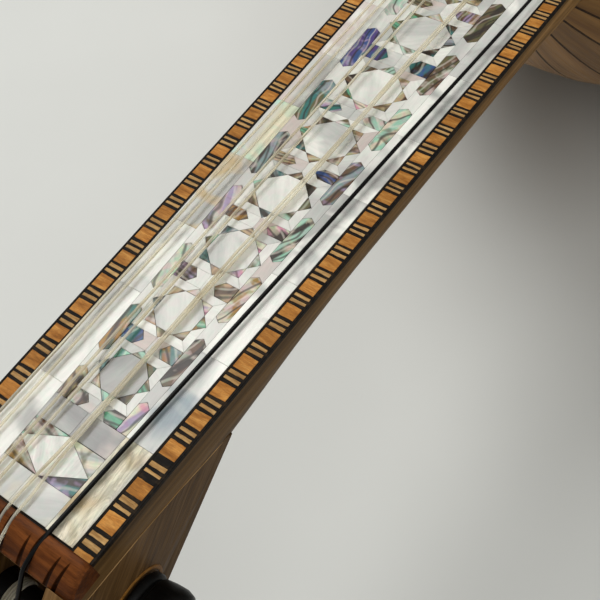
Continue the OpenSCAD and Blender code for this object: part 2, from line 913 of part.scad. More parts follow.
// One peg along +Y with its axis at the origin, head outward
module peg_shape(edge) {
    collar_y = edge + collar_gap;
    head_y = collar_y + collar_len + peg_neck_len;
    tip_y = edge + 1.5;
    inner_y = edge - cheek_t - 1;
    shoulder = 1.2;
    difference() {
        union() {
            rotate([-90, 0, 0])
                rotate_extrude()
                    polygon([[0, -tip_y], [peg_tip_r - 0.4, -tip_y], [peg_tip_r, -tip_y + 0.4],
                        [peg_tip_r, -inner_y], [peg_r, shoulder - inner_y], [peg_r, collar_y], [collar_r, collar_y],
                        [collar_r, collar_y + collar_len * 0.6], [collar_r - 1, collar_y + collar_len],
                        [peg_neck_r, collar_y + collar_len + 1.5], [peg_neck_r, head_y], [0, head_y]]);
            translate([0, head_y + head_r * 0.8, 0])
                rotate_extrude()
                    polygon([[0, -head_t / 2], [head_r - 2, -head_t / 2 + 1], [head_r, -head_t / 4],
                        [head_r, head_t / 4], [head_r - 2, head_t / 2 - 1], [0, head_t / 2]]);
        }
        translate([0, inner_y - winding_w - 1, -peg_r - 1])
            cylinder(h = 2 * peg_r + 2, r = peg_hole_r);
    }
}

module peg(k) {
    side = k % 2 == 1 ? -1 : 1;
    color([0.08, 0.08, 0.09])
        placed()
            in_pegbox()
                translate([peg_p(k), 0, peg_q(k)])
                    rotate([side > 0 ? 0 : 180, 37 * k, 0])
                        peg_shape(cheek_y(peg_p(k)));
}

// ---- Strings ----

function string_dir(s) = unit(bridge_point(string_holes[s - 1]) - nut_point(string_slots[s - 1]));
function peg_front(s) =
    let (k = string_pegs[s - 1], q = peg_q(k) - peg_r - winding_layer - winding_gap - string_dia(s) / 2)
        [to_x(peg_p(k), q), winding_y(s), to_z(peg_p(k), q)];

module string_bend(at, r) {
    translate(at)
        rotate([90, 0, 0])
            sphere(r * bead);
}

module string_run(s) {
    r = string_dia(s) / 2;
    slot = string_slots[s - 1];
    hole_end = bridge_point(string_holes[s - 1]) + string_dir(s) * (bridge_t + 0.6);
    color(s == 7 ? "black" : "ivory")
        placed() {
            rod(nut_point(slot), hole_end + string_dir(s) * knot_r, r);
            string_bend(nut_point(slot), r);
            rod(rest_point(slot), nut_point(slot), r);
            string_bend(rest_point(slot), r);
            rod(peg_front(s), rest_point(slot), r);
            translate(hole_end + string_dir(s) * knot_r)
                sphere(knot_r);
        }
}

module winding(s) {
    k = string_pegs[s - 1];
    color(s == 7 ? "black" : "ivory")
        placed()
            in_pegbox()
                translate([peg_p(k), winding_y(s) - winding_w / 2, peg_q(k)])
                    rotate([-90, 0, 0])
                        difference() {
                            cylinder(h = winding_w, r = peg_r + winding_layer);
                            translate([0, 0, -1])
                                cylinder(h = winding_w + 2, r = peg_r);
                        }
}

bowl_ribs();
rib_lines();
neck_block();
tail_block();
tail_clasp();
soundboard_bass();
soundboard_treble();
soundboard_braces();
edge_binding();
large_rose();
small_roses();
rose_rings();
pickguard();
bridge();
fingerboard();
neck_core();
marquetry_blocks();
marquetry_light_sticks();
marquetry_dark_sticks();
marquetry_lines();
pearl_bands();
pearl_ground();
star_centres();
star_points();
side_bars();
house_bars();
panel_diamonds();
nut();
cheek_bass();
cheek_treble();
pegbox_back();
pegbox_tongue();
pegbox_end();
for (k = [1 : 10])
    peg(k);
for (s = [1 : 7])
    string_run(s);
for (s = [1 : 7])
    winding(s);
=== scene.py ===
import math

import bmesh
import bpy
import numpy as np
from mathutils import Matrix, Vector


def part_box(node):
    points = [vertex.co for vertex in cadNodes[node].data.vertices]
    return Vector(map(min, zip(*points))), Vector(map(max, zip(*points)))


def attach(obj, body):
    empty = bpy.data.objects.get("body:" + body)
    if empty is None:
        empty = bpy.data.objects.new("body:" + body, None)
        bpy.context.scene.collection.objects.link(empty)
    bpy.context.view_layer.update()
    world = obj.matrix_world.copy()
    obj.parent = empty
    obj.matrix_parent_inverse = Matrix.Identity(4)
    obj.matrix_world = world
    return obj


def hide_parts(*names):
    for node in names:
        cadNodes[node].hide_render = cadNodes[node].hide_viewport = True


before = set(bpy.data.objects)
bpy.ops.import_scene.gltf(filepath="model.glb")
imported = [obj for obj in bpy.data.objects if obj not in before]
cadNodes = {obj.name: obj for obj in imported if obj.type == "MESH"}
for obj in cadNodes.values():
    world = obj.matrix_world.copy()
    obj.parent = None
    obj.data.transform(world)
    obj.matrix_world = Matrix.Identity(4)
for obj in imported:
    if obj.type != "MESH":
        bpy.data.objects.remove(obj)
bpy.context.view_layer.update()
print("frame loaded:", len(cadNodes), "nodes")

mm = 0.001
draw = np.random.default_rng(41)
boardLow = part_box("fingerboard")[0]
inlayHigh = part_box("marquetry_lines")[1]
origin = np.array([boardLow.x, 0.0, inlayHigh.z])      # the nut's front edge on the board's centre line


# Neck places in millimetres to the row frame in metres: scaled, then moved to the nut's front edge
def toRow(points):
    return np.asarray(points, float) * mm + origin


# Steps up smoothly from 0 to 1 between two values: 3t^2 - 2t^3
def smoothStep(low, high, x):
    t = np.clip((np.asarray(x, float) - low) / (high - low), 0, 1)
    return t * t * (3 - 2 * t)


# Angles evenly round a full turn
def fullTurn(sides):
    return np.linspace(0, 2 * np.pi, sides, endpoint=False)


# Quads between neighbouring rows of points; where closed, the last column joins the first
def gridFaces(rows, cols, closed=True, first=0):
    row, col = np.meshgrid(np.arange(rows - 1), np.arange(cols if closed else cols - 1), indexing="ij")
    right = (col + 1) % cols
    here, below = row * cols, (row + 1) * cols
    quads = np.stack([here + col, here + right, below + right, below + col], -1)
    return quads.reshape(-1, 4) + first


# A closed tube from rows of ring points: the side quads, and one face over each end
def tubeFaces(rows, cols, first=0):
    ends = np.stack([np.arange(cols)[::-1], np.arange(cols) + (rows - 1) * cols]) + first
    return [gridFaces(rows, cols, True, first), ends]


# The side quads of a ring of rows that closes on itself: the row after the last is the first
def loopFaces(rows, cols):
    return [gridFaces(rows + 1, cols) % (rows * cols)]


# Six times the volume inside the faces, as the sum of a.(b x c) over fans of triangles
def signedVolume(points, groups):
    total = 0.0
    for group in groups:
        for i in range(1, group.shape[1] - 1):
            a, b, c = points[group[:, 0]], points[group[:, i]], points[group[:, i + 1]]
            total += np.einsum("ij,ij->", a, np.cross(b, c))
    return total


# Makes a mesh object of millimetre points and face groups, faces outward, riding on a body
def makePiece(name, points, groups, material, body="root", slotName=None, nodes=(), attributes=None, uv=None,
              sharp=32):
    points = np.asarray(points, float).reshape(-1, 3)
    groups = [np.asarray(g, int) for g in groups if len(g)]
    centred = points - points.mean(0)
    if signedVolume(centred, groups) < 0:
        groups = [g[:, ::-1] for g in groups]
    placed = toRow(points)
    corners = np.concatenate([g.ravel() for g in groups])
    sizes = np.concatenate([np.full(len(g), g.shape[1]) for g in groups])
    mesh = bpy.data.meshes.new(name)
    mesh.vertices.add(len(placed))
    mesh.vertices.foreach_set("co", placed.astype(np.float32).ravel())
    mesh.loops.add(len(corners))
    mesh.loops.foreach_set("vertex_index", corners.astype(np.int32))
    mesh.polygons.add(len(sizes))
    mesh.polygons.foreach_set("loop_start", np.concatenate([[0], np.cumsum(sizes)[:-1]]).astype(np.int32))
    mesh.update(calc_edges=True)
    mesh.validate()
    mesh.polygons.foreach_set("use_smooth", np.ones(len(mesh.polygons), bool))
    mesh.set_sharp_from_angle(angle=math.radians(sharp))
    for key, values in (attributes or {}).items():
        values = np.asarray(values, np.float32)
        width = 1 if values.ndim == 1 else values.shape[1]
        kind, field = {1: ("FLOAT", "value"), 3: ("FLOAT_VECTOR", "vector"), 4: ("FLOAT_COLOR", "color")}[width]
        mesh.attributes.new(key, kind, "POINT").data.foreach_set(field, values.ravel())
    if uv is not None:
        layer = mesh.uv_layers.new(name="along")
        index = np.zeros(len(mesh.loops), np.int32)
        mesh.loops.foreach_get("vertex_index", index)
        layer.data.foreach_set("uv", np.asarray(uv, np.float32)[index].ravel())
    mesh.materials.append(material)
    piece = bpy.data.objects.new(name, mesh)
    bpy.context.scene.collection.objects.link(piece)
    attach(piece, body)
    if nodes:
        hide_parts(*nodes)


# Joins several (points, groups, attributes) sets into one, numbering the faces on from set to set
def joined(parts):
    bySize, first = {}, 0
    for part in parts:
        for g in part[1]:
            bySize.setdefault(g.shape[1], []).append(np.asarray(g, int) + first)
        first += len(part[0])
    keys = parts[0][2] if len(parts[0]) > 2 else {}
    values = {key: np.concatenate([part[2][key] for part in parts]) for key in keys}
    return np.concatenate([part[0] for part in parts]), [np.concatenate(g) for g in bySize.values()], values


def makeJoined(name, parts, material, **settings):
    points, groups, values = joined(parts)
    makePiece(name, points, groups, material, attributes=values, **settings)


# A round tube along a path: each ring is centre + r(cos a * side + sin a * up), square to the path
def tubeAlong(path, radius, sides=12, reference=(0.0, 1.0, 0.0)):
    path = np.asarray(path, float)
    radius = np.broadcast_to(np.asarray(radius, float), (len(path),))
    ahead = np.gradient(path, axis=0)
    ahead /= np.linalg.norm(ahead, axis=1, keepdims=True)
    side = np.cross(np.broadcast_to(np.asarray(reference, float), ahead.shape), ahead)
    side /= np.linalg.norm(side, axis=1, keepdims=True)
    up = np.cross(ahead, side)
    a = fullTurn(sides)
    ring = np.cos(a)[None, :, None] * side[:, None] + np.sin(a)[None, :, None] * up[:, None]
    points = path[:, None] + radius[:, None, None] * ring
    return points.reshape(-1, 3), tubeFaces(len(path), sides)


# A smooth path through points: each stretch is a Catmull-Rom cubic of the four points round it
def smoothPath(points, steps=8):
    points = np.asarray(points, float)
    padded = np.concatenate([[2 * points[0] - points[1]], points, [2 * points[-1] - points[-2]]])
    a, b, c, d = padded[:-3], padded[1:-2], padded[2:-1], padded[3:]
    t = np.linspace(0, 1, steps, endpoint=False)[None, :, None]
    a, b, c, d = (v[:, None] for v in (a, b, c, d))
    curve = 0.5 * (2 * b + (c - a) * t + (2 * a - 5 * b + 4 * c - d) * t ** 2
                   + (3 * b - a - 3 * c + d) * t ** 3)
    return np.concatenate([curve.reshape(-1, 3), points[-1:]])


# A profile of (radius, height) pairs turned about an axis through a centre; flat faces close its ends
def lathed(profile, centre, axis, across, sides=48):
    profile = np.asarray(profile, float)
    axis, across = np.asarray(axis, float), np.asarray(across, float)
    third = np.cross(axis, across)
    a = fullTurn(sides)
    ring = np.cos(a)[:, None] * across + np.sin(a)[:, None] * third
    radius, height = profile[:, 0, None, None], profile[:, 1, None, None]
    points = np.asarray(centre, float) + height * axis + radius * ring[None]
    return points.reshape(-1, 3), tubeFaces(len(profile), sides)


# A screen colour from 0 to 255 to the renderer's linear one: ((c + 0.055) / 1.055)^2.4
def tint(red, green, blue):
    c = np.array([red, green, blue]) / 255
    linear = np.where(c <= 0.04045, c / 12.92, ((c + 0.055) / 1.055) ** 2.4)
    return (*[float(v) for v in linear], 1.0)


# Makes a node; each input is linked where it is given another node's socket, and set where it is given a value
def addNode(tree, kind, inputs=None, **settings):
    made = tree.nodes.new(kind)
    for key, value in settings.items():
        setattr(made, key, value)
    for key, value in (inputs or {}).items():
        if isinstance(value, bpy.types.NodeSocket):
            tree.links.new(value, made.inputs[key])
        else:
            made.inputs[key].default_value = value
    return made


def startMaterial(name, **sockets):
    material = bpy.data.materials.new(name)
    material.use_nodes = True
    tree = material.node_tree
    tree.nodes.clear()
    shader = addNode(tree, "ShaderNodeBsdfPrincipled", sockets)
    addNode(tree, "ShaderNodeOutputMaterial", {"Surface": shader.outputs[0]})
    return material, tree, shader


def noiseAt(tree, place, scale, detail=3.0, rough=0.55, distortion=0.0):
    inputs = {"Vector": place, "Scale": scale, "Detail": detail, "Roughness": rough, "Distortion": distortion}
    return addNode(tree, "ShaderNodeTexNoise", inputs).outputs["Fac"]


def rampOf(tree, value, stops):
    made = addNode(tree, "ShaderNodeValToRGB", {"Fac": value})
    ramp = made.color_ramp
    while len(ramp.elements) < len(stops):
        ramp.elements.new(0.5)
    for element, (place, colour) in zip(ramp.elements, stops):
        element.position = place
        element.color = colour
    return made.outputs["Color"]


# Inputs 0, 6 and 7 of the mix node are the share and the two colours, output 2 the mixed colour
def mixed(tree, share, first, second, blend="MIX"):
    return addNode(tree, "ShaderNodeMix", {0: share, 6: first, 7: second}, data_type="RGBA",
                   blend_type=blend).outputs[2]


noiseSpan = (0.3, 0.7)      # nearly all of a noise's values lie between these


# A value carried from one range to another: low at fromLow, high at fromHigh, and no further
def ranged(tree, value, low, high, fromLow=0.0, fromHigh=1.0):
    inputs = {"Value": value, "From Min": fromLow, "From Max": fromHigh, "To Min": low, "To Max": high}
    return addNode(tree, "ShaderNodeMapRange", inputs).outputs["Result"]


def calculated(tree, operation, first, second):
    return addNode(tree, "ShaderNodeMath", {0: first, 1: second}, operation=operation).outputs[0]


def attributeOf(tree, name, output="Fac"):
    return addNode(tree, "ShaderNodeAttribute", attribute_name=name).outputs[output]


def mapped(tree, place, **inputs):
    return addNode(tree, "ShaderNodeMapping", {"Vector": place, **inputs}).outputs["Vector"]


def objectPlace(tree):
    return addNode(tree, "ShaderNodeTexCoord").outputs["Object"]


# A colour times a grey level
def dimmed(tree, colour, level):
    grey = addNode(tree, "ShaderNodeCombineColor", {"Red": level, "Green": level, "Blue": level})
    return mixed(tree, 1.0, colour, grey.outputs["Color"], "MULTIPLY")


def addBump(tree, shader, height, strength, distance):
    bump = addNode(tree, "ShaderNodeBump", {"Height": height, "Strength": strength, "Distance": distance})
    tree.links.new(bump.outputs["Normal"], shader.inputs["Normal"])


# Wood: broad streaks, fine fibres and short dark pores, all drawn out along the grain
def woodMaterial(name, look):
    sockets = {"Coat Weight": look.get("varnish", 0.0), "Coat Roughness": 0.2,
               "Specular IOR Level": look.get("gloss", 0.06)}
    material, tree, shader = startMaterial(name, **sockets)
    if look.get("uv"):
        coords = addNode(tree, "ShaderNodeUVMap", uv_map="along").outputs["UV"]
    else:
        coords = objectPlace(tree)
    place = mapped(tree, mapped(tree, coords, Rotation=look.get("turn", (0, 0, 0))), Scale=look["stretch"])
    streaks = noiseAt(tree, place, 1.0, detail=4.0, rough=0.6, distortion=look.get("wander", 0.5))
    fibres = noiseAt(tree, place, 5.0, detail=5.0, rough=0.7)
    pores = noiseAt(tree, place, 9.0, detail=2.0, rough=0.5)
    cloud = noiseAt(tree, coords, look.get("cloud", 18.0), detail=2.0)
    shades = zip((0.3, 0.5, 0.7), ("dark", "mid", "light"))
    colour = rampOf(tree, streaks, [(level, tint(*look[shade])) for level, shade in shades])
    fine = ranged(tree, fibres, 1 - look.get("fibre", 0.25), 1 + look.get("fibre", 0.25), *noiseSpan)
    blotch = ranged(tree, cloud, 0.88, 1.1, *noiseSpan)
    specks = ranged(tree, pores, 1.0, look.get("pore", 0.75), 0.62, 0.72)
    level = calculated(tree, "MULTIPLY", calculated(tree, "MULTIPLY", fine, blotch), specks)
    if look.get("tone"):
        level = calculated(tree, "MULTIPLY", level, attributeOf(tree, look["tone"]))
    tree.links.new(dimmed(tree, colour, level), shader.inputs["Base Color"])
    rough = look.get("rough", 0.42)
    tree.links.new(ranged(tree, fibres, rough - 0.06, rough + 0.12, *noiseSpan), shader.inputs["Roughness"])
    addBump(tree, shader, fibres, strength=0.25, distance=0.0002)
    return material


woods = {
    "neckWood": {"dark": (64, 45, 22), "mid": (98, 72, 39), "light": (122, 92, 55), "stretch": (14, 420, 420),
                 "fibre": 0.26, "rough": 0.45},
    "pegboxWood": {"dark": (54, 37, 20), "mid": (92, 67, 38), "light": (122, 92, 58), "turn": (0, 0.8255, 0),
                   "stretch": (20, 260, 420), "fibre": 0.32, "rough": 0.46, "wander": 1.2},
    # The nut's tone attribute is painted shade in its grooves and at its front lip
    "nutWood": {"dark": (54, 26, 10), "mid": (84, 44, 17), "light": (110, 62, 27), "stretch": (420, 46, 420),
                "fibre": 0.36, "rough": 0.45, "tone": "nutShading"},
    "rimWood": {"dark": (104, 68, 26), "mid": (136, 92, 40), "light": (166, 120, 60),
                "stretch": (200, 200, 200)},
    "ribWood": {"dark": (96, 65, 31), "mid": (118, 84, 43), "light": (138, 101, 56), "stretch": (7, 240, 240),
                "fibre": 0.14, "varnish": 0.06, "gloss": 0.12, "rough": 0.34, "uv": True, "tone": "ribTone"},
    "lineWood": {"dark": (30, 20, 11), "mid": (45, 31, 18), "light": (60, 42, 25), "stretch": (40, 500, 500)},
    "blockWood": {"dark": (150, 116, 74), "mid": (180, 144, 98), "light": (200, 166, 120),
                  "stretch": (20, 250, 250), "rough": 0.6},
    "topWood": {"dark": (184, 138, 84), "mid": (210, 170, 114), "light": (226, 192, 140),
                "stretch": (5, 560, 560), "wander": 0.15, "fibre": 0.14, "cloud": 9.0, "pore": 0.9,
                "gloss": 0.2, "rough": 0.48},
    "walnutWood": {"dark": (44, 26, 14), "mid": (70, 43, 25), "light": (96, 61, 37), "stretch": (18, 320, 320),
                   "varnish": 0.08, "gloss": 0.12, "rough": 0.38},
    "bridgeWood": {"dark": (50, 28, 15), "mid": (80, 47, 27), "light": (106, 65, 39), "stretch": (320, 18, 320),
                   "varnish": 0.08, "gloss": 0.12, "rough": 0.4},
    "roseWood": {"dark": (104, 66, 34), "mid": (140, 96, 54), "light": (166, 120, 72),
                 "stretch": (30, 300, 300), "gloss": 0.15, "rough": 0.5},
    "pegWood": {"dark": (5, 5, 4), "mid": (10, 9, 8), "light": (20, 17, 14), "stretch": (260, 30, 260),
                "fibre": 0.3, "gloss": 0.1, "rough": 0.36},
    "orangeWood": {"dark": (132, 82, 30), "mid": (166, 110, 48), "light": (192, 138, 70),
                   "stretch": (900, 160, 200), "fibre": 0.24, "pore": 0.74, "cloud": 60.0,
                   "rough": 0.42, "tone": "stickTone"},
    "tanWood": {"dark": (134, 98, 54), "mid": (168, 130, 80), "light": (192, 156, 102),
                "stretch": (1200, 160, 200), "fibre": 0.26, "pore": 0.62, "cloud": 80.0,
                "rough": 0.44, "tone": "stickTone"},
    "blackWood": {"dark": (8, 6, 4), "mid": (19, 14, 9), "light": (48, 37, 24), "stretch": (700, 240, 300),
                  "fibre": 0.4, "cloud": 90.0, "rough": 0.5, "tone": "stickTone"},
}
woods["neckLong"] = {**woods["neckWood"], "tone": "paleness"}      # the same wood, paler towards the body
wood = {name: woodMaterial(name, look) for name, look in woods.items()}


def wavesAt(tree, place, scale, swirl, inputs):
    return addNode(tree, "ShaderNodeTexWave", {"Vector": place, "Scale": scale, "Distortion": swirl, **inputs},
                   wave_type="BANDS", bands_direction="Y").outputs["Fac"]


# Shell: two tints in long silky streaks that drift into a third, with thin growth lines where it is lustrous
def shellMaterial(name, look):
    material, tree, shader = startMaterial(name, **{"Coat Weight": look["coat"], "Coat Roughness": 0.08,
                                                    "Specular IOR Level": look["gloss"]})
    place = attributeOf(tree, "shellPlace", "Vector")
    lustre, ridged = attributeOf(tree, "lustre"), attributeOf(tree, "ridge")
    silk = mapped(tree, place, Scale=look["silk"])
    bands = wavesAt(tree, place, look["bandScale"], look["swirl"],
                    {"Detail": 2.0, "Detail Scale": 0.5, "Detail Roughness": 0.5})
    drift = noiseAt(tree, place, look["driftScale"], detail=2.0, rough=0.5, distortion=0.6)
    streak = noiseAt(tree, silk, 1.0, detail=4.0, rough=0.55, distortion=0.3)
    first, second, third = (attributeOf(tree, key, "Color") for key in ("tintOne", "tintTwo", "tintThree"))
    colour = mixed(tree, ranged(tree, bands, 0.0, 1.0, 0.25, 0.75), first, second)
    colour = mixed(tree, ranged(tree, drift, 0.0, 1.0, 0.5, 0.66), colour, third)
    veins = wavesAt(tree, place, look["bandScale"] * 0.9, look["swirl"] * 1.2,
                    {"Detail": 1.5, "Phase Offset": 1.3})
    vein = calculated(tree, "MULTIPLY", ranged(tree, veins, 1.0, 0.0, 0.0, 0.12), lustre)
    colour = mixed(tree, calculated(tree, "MULTIPLY", vein, 0.8), colour, tint(40, 31, 24))
    gleam = calculated(tree, "MULTIPLY", ranged(tree, veins, 0.0, 1.0, 0.9, 1.0), lustre)
    colour = mixed(tree, calculated(tree, "MULTIPLY", gleam, 0.4), colour, tint(226, 220, 206))
    hue = rampOf(tree, noiseAt(tree, place, 0.6, detail=2.0, rough=0.5, distortion=0.5),
                 [(0.34, tint(206, 240, 222)), (0.5, tint(240, 240, 236)), (0.66, tint(246, 220, 228))])
    colour = mixed(tree, ranged(tree, lustre, look["hueLeast"], 0.8), colour, hue, "MULTIPLY")
    colour = dimmed(tree, colour, ranged(tree, streak, look["silkLow"], look["silkHigh"], *noiseSpan))
    tree.links.new(ranged(tree, drift, 0.26, 0.44, *noiseSpan), shader.inputs["Roughness"])
    ripple = noiseAt(tree, silk, 0.6, detail=2.0, rough=0.5, distortion=0.2)
    ridges = noiseAt(tree, mapped(tree, place, Scale=look["ridgeScale"]), 1.0, detail=5.0, rough=0.58,
                     distortion=1.6)
    # Painted shade in the furrows of a ridged plate: the colour darkens where the ridge noise is low
    furrowShade = dimmed(tree, colour, ranged(tree, ridges, 0.66, 1.06, 0.4, 0.52))
    tree.links.new(mixed(tree, ridged, colour, furrowShade), shader.inputs["Base Color"])
    height = calculated(tree, "ADD", calculated(tree, "MULTIPLY", ripple, 0.35),
                        calculated(tree, "MULTIPLY", ridges, ridged))
    addBump(tree, shader, height, strength=0.35, distance=0.0004)
    return material


shells = {
    "whiteShell": {"bandScale": 0.022, "swirl": 4.0, "driftScale": 0.11, "silk": (0.16, 1.1, 1.0),
                   "silkLow": 0.9, "silkHigh": 1.05, "hueLeast": 0.16, "coat": 0.07, "gloss": 0.24,
                   "ridgeScale": (0.13, 0.62, 1.0)},
    "colourShell": {"bandScale": 0.1, "swirl": 5.5, "driftScale": 0.26, "silk": (0.3, 1.6, 1.0),
                    "silkLow": 0.86, "silkHigh": 1.1, "hueLeast": 0.4, "coat": 0.06, "gloss": 0.2,
                    "ridgeScale": (0.13, 0.62, 1.0)}}
whiteShell, colourShell = (shellMaterial(name, look) for name, look in shells.items())


# Nylon: clear cord, a little cloudy along its length
def nylonMaterial(name, look):
    material, tree, shader = startMaterial(name, **{"IOR": look["bend"], "Specular IOR Level": look["gloss"],
                                                    "Transmission Weight": look["clear"]})
    cloud = noiseAt(tree, mapped(tree, objectPlace(tree), Scale=(60, 240, 60)), 1.0, 2.0)
    tree.links.new(rampOf(tree, cloud, [(0.35, tint(*look["dark"])), (0.65, tint(*look["light"]))]),
                   shader.inputs["Base Color"])
    rough = ranged(tree, cloud, look["rough"], look["rough"] + 0.03, *noiseSpan)
    tree.links.new(rough, shader.inputs["Roughness"])
    return material


nylons = {
    "clearNylon": {"clear": 0.7, "dark": (226, 217, 192), "light": (246, 240, 222), "rough": 0.15, "gloss": 0.4,
                   "bend": 1.22},
    "blackNylon": {"clear": 0.0, "dark": (3, 3, 3), "light": (8, 7, 6), "rough": 0.22, "gloss": 0.1,
                   "bend": 1.5}}
clearNylon, blackNylon = (nylonMaterial(name, look) for name, look in nylons.items())
print("materials ready")

# Camera, lamps, room and floor
viewPoint = {"place": (-0.28241, -0.07552, 0.31455), "aim": (-0.21086, -0.01902, 0.1842), "roll": -0.1019,
             "lens": 47.92, "sensor": 36.0, "near": 0.01, "far": 50.0}
lamps = {"window": {"place": (0.33, 1.29, 2.35), "aim": (-0.15, 0.0, 0.15), "roll": 0.0, "size": 1.5,
                    "power": 51.0},
         "ceiling": {"place": (-1.5, -1.0, 2.8), "aim": (-0.2, 0.0, 0.1), "roll": 0.0, "size": 2.4,
                     "power": 33.0}}


# Puts a camera or a lamp at its place: it looks along aim - place, turned by the roll about that line
def putAiming(name, data, look):
    ahead = np.subtract(look["aim"], look["place"])
    ahead /= np.linalg.norm(ahead)
    side = np.cross(ahead, [0, 0, 1])
    side /= np.linalg.norm(side)
    up = np.cross(side, ahead)
    c, s = math.cos(look["roll"]), math.sin(look["roll"])
    matrix = np.eye(4)
    matrix[:3] = np.column_stack([c * side + s * up, c * up - s * side, -ahead, look["place"]])
    made = bpy.data.objects.new(name, data)
    made.matrix_world = Matrix(matrix.tolist())
    bpy.context.scene.collection.objects.link(made)
    return made


cameraData = bpy.data.cameras.new("viewPoint")
cameraData.lens, cameraData.sensor_width = viewPoint["lens"], viewPoint["sensor"]
cameraData.clip_start, cameraData.clip_end = viewPoint["near"], viewPoint["far"]
bpy.context.scene.camera = putAiming("viewPoint", cameraData, viewPoint)
for lampName, lampLook in lamps.items():
    lampData = bpy.data.lights.new(lampName, "AREA")
    lampData.shape, lampData.size, lampData.energy = "SQUARE", lampLook["size"], lampLook["power"]
    putAiming(lampName, lampData, lampLook)

room = {"light": (1.0, 1.0, 0.985, 1.0), "strength": 0.26, "seen": tint(205, 207, 204)}
world = bpy.data.worlds.new("room")
bpy.context.scene.world = world
world.use_nodes = True
roomTree = world.node_tree
roomTree.nodes.clear()
lightPath = addNode(roomTree, "ShaderNodeLightPath").outputs
litRoom = addNode(roomTree, "ShaderNodeBackground", {"Color": room["light"], "Strength": room["strength"]})
seenRoom = addNode(roomTree, "ShaderNodeBackground", {"Color": room["seen"], "Strength": 1.0})
seen = calculated(roomTree, "MAXIMUM", lightPath["Is Camera Ray"], lightPath["Is Glossy Ray"])
seen = calculated(roomTree, "MAXIMUM", seen, lightPath["Is Transmission Ray"])
roomMix = addNode(roomTree, "ShaderNodeMixShader", {0: seen, 1: litRoom.outputs[0], 2: seenRoom.outputs[0]})
addNode(roomTree, "ShaderNodeOutputWorld", {"Surface": roomMix.outputs[0]})

floorLook = {"dark": (206, 207, 202), "light": (210, 211, 206), "half": 6.0}


# The floor: one flat sheet of paper-like grey with a faint cloudiness
def layFloor(look):
    material, tree, shader = startMaterial("floorPaper", **{"Roughness": 0.75, "Specular IOR Level": 0.2})
    coords = objectPlace(tree)
    cloud = noiseAt(tree, coords, 6.0, 3.0)
    tree.links.new(rampOf(tree, cloud, [(0.3, tint(*look["dark"])), (0.7, tint(*look["light"]))]),
                   shader.inputs["Base Color"])
    addBump(tree, shader, noiseAt(tree, coords, 900.0, detail=2.0), strength=0.05, distance=0.0003)
    mesh = bpy.data.meshes.new("floor")
    h = look["half"]
    mesh.from_pydata([(-h, -h, 0), (h, -h, 0), (h, h, 0), (-h, h, 0)], [], [(0, 1, 2, 3)])
    mesh.materials.append(material)
    floor = bpy.data.objects.new("floor", mesh)
    bpy.context.scene.collection.objects.link(floor)


layFloor(floorLook)
bpy.context.scene.view_settings.view_transform = "Standard"
print("camera, lamps and floor ready")

# Inlay of the fingerboard
board = {"nutWidth": 38.0, "flare": 0.075, "length": 206.0, "thick": 0.36, "bed": 1.0, "lineWidth": 0.58,
         "stickWidth": 3.56, "bandWidth": 6.36, "joint": 0.05, "bevel": 0.04, "wobble": 0.09, "rounding": 0.3}
edgeWidth = board["stickWidth"] + 2 * board["lineWidth"]


def boardWidth(x):
    return board["nutWidth"] + board["flare"] * np.asarray(x, float)


def fieldWidth(x):
    return boardWidth(x) - 2 * (edgeWidth + board["bandWidth"])


# Moves each side of a closed outline inward by g: corner + (n1 + n2) g / (1 + n1.n2)
def insetOutline(outline, g):
    ahead = np.roll(outline, -1, 0) - outline
    ahead = ahead / np.linalg.norm(ahead, axis=1, keepdims=True)
    normal = np.stack([-ahead[:, 1], ahead[:, 0]], 1)
    before = np.roll(normal, 1, 0)
    return outline + (normal + before) * g / (1 + (normal * before).sum(1, keepdims=True))


# A tile: its outline as three rings (foot, shoulder, bevelled rim), with one face below and one above
def tileSolid(outline, joint=None, top=0.0, bevel=None, thick=None):
    outline = np.asarray(outline, float)
    area = (outline[:, 0] * np.roll(outline[:, 1], -1) - np.roll(outline[:, 0], -1) * outline[:, 1]).sum()
    if area < 0:
        outline = outline[::-1]
    joint = board["joint"] if joint is None else joint
    bevel = board["bevel"] if bevel is None else bevel
    foot = insetOutline(outline, joint / 2)
    rim = insetOutline(outline, joint / 2 + bevel)
    count = len(outline)
    levels = [(foot, -(thick or board["thick"])), (foot, top - bevel), (rim, top)]
    points = np.concatenate([np.column_stack([ring, np.full(count, z)]) for ring, z in levels])
    return points, tubeFaces(3, count)


# Corners rounded by hand: each becomes three points, the middle one halfway in to the chord
def roundedOutline(outline, reach):
    before, after = np.roll(outline, 1, 0) - outline, np.roll(outline, -1, 0) - outline
    lengthBefore, lengthAfter = (np.linalg.norm(v, axis=1, keepdims=True) for v in (before, after))
    least = np.minimum(np.minimum(lengthBefore, lengthAfter) * 0.36, reach)
    first, last = outline + before / lengthBefore * least, outline + after / lengthAfter * least
    return np.stack([first, (first + last) / 4 + outline / 2, last], 1).reshape(-1, 2)


# The palest tint, snow, is partly the pearl's white and partly painted highlight, standing for glare on the shell
shellTints = {
    "white": (208, 207, 199), "snow": (222, 221, 212), "cream": (208, 201, 176), "grey": (158, 157, 152),
    "ash": (140, 139, 136), "mist": (184, 184, 178), "rose": (192, 180, 172), "blueGrey": (136, 146, 150),
    "olive": (96, 90, 60), "brown": (98, 76, 56), "umber": (52, 42, 34), "teal": (52, 112, 108),
    "green": (98, 164, 132), "mint": (158, 196, 176), "pink": (206, 146, 164), "lavender": (158, 142, 172),
    "violet": (76, 60, 118), "blue": (50, 76, 130), "gold": (160, 118, 54), "sand": (176, 156, 120)}


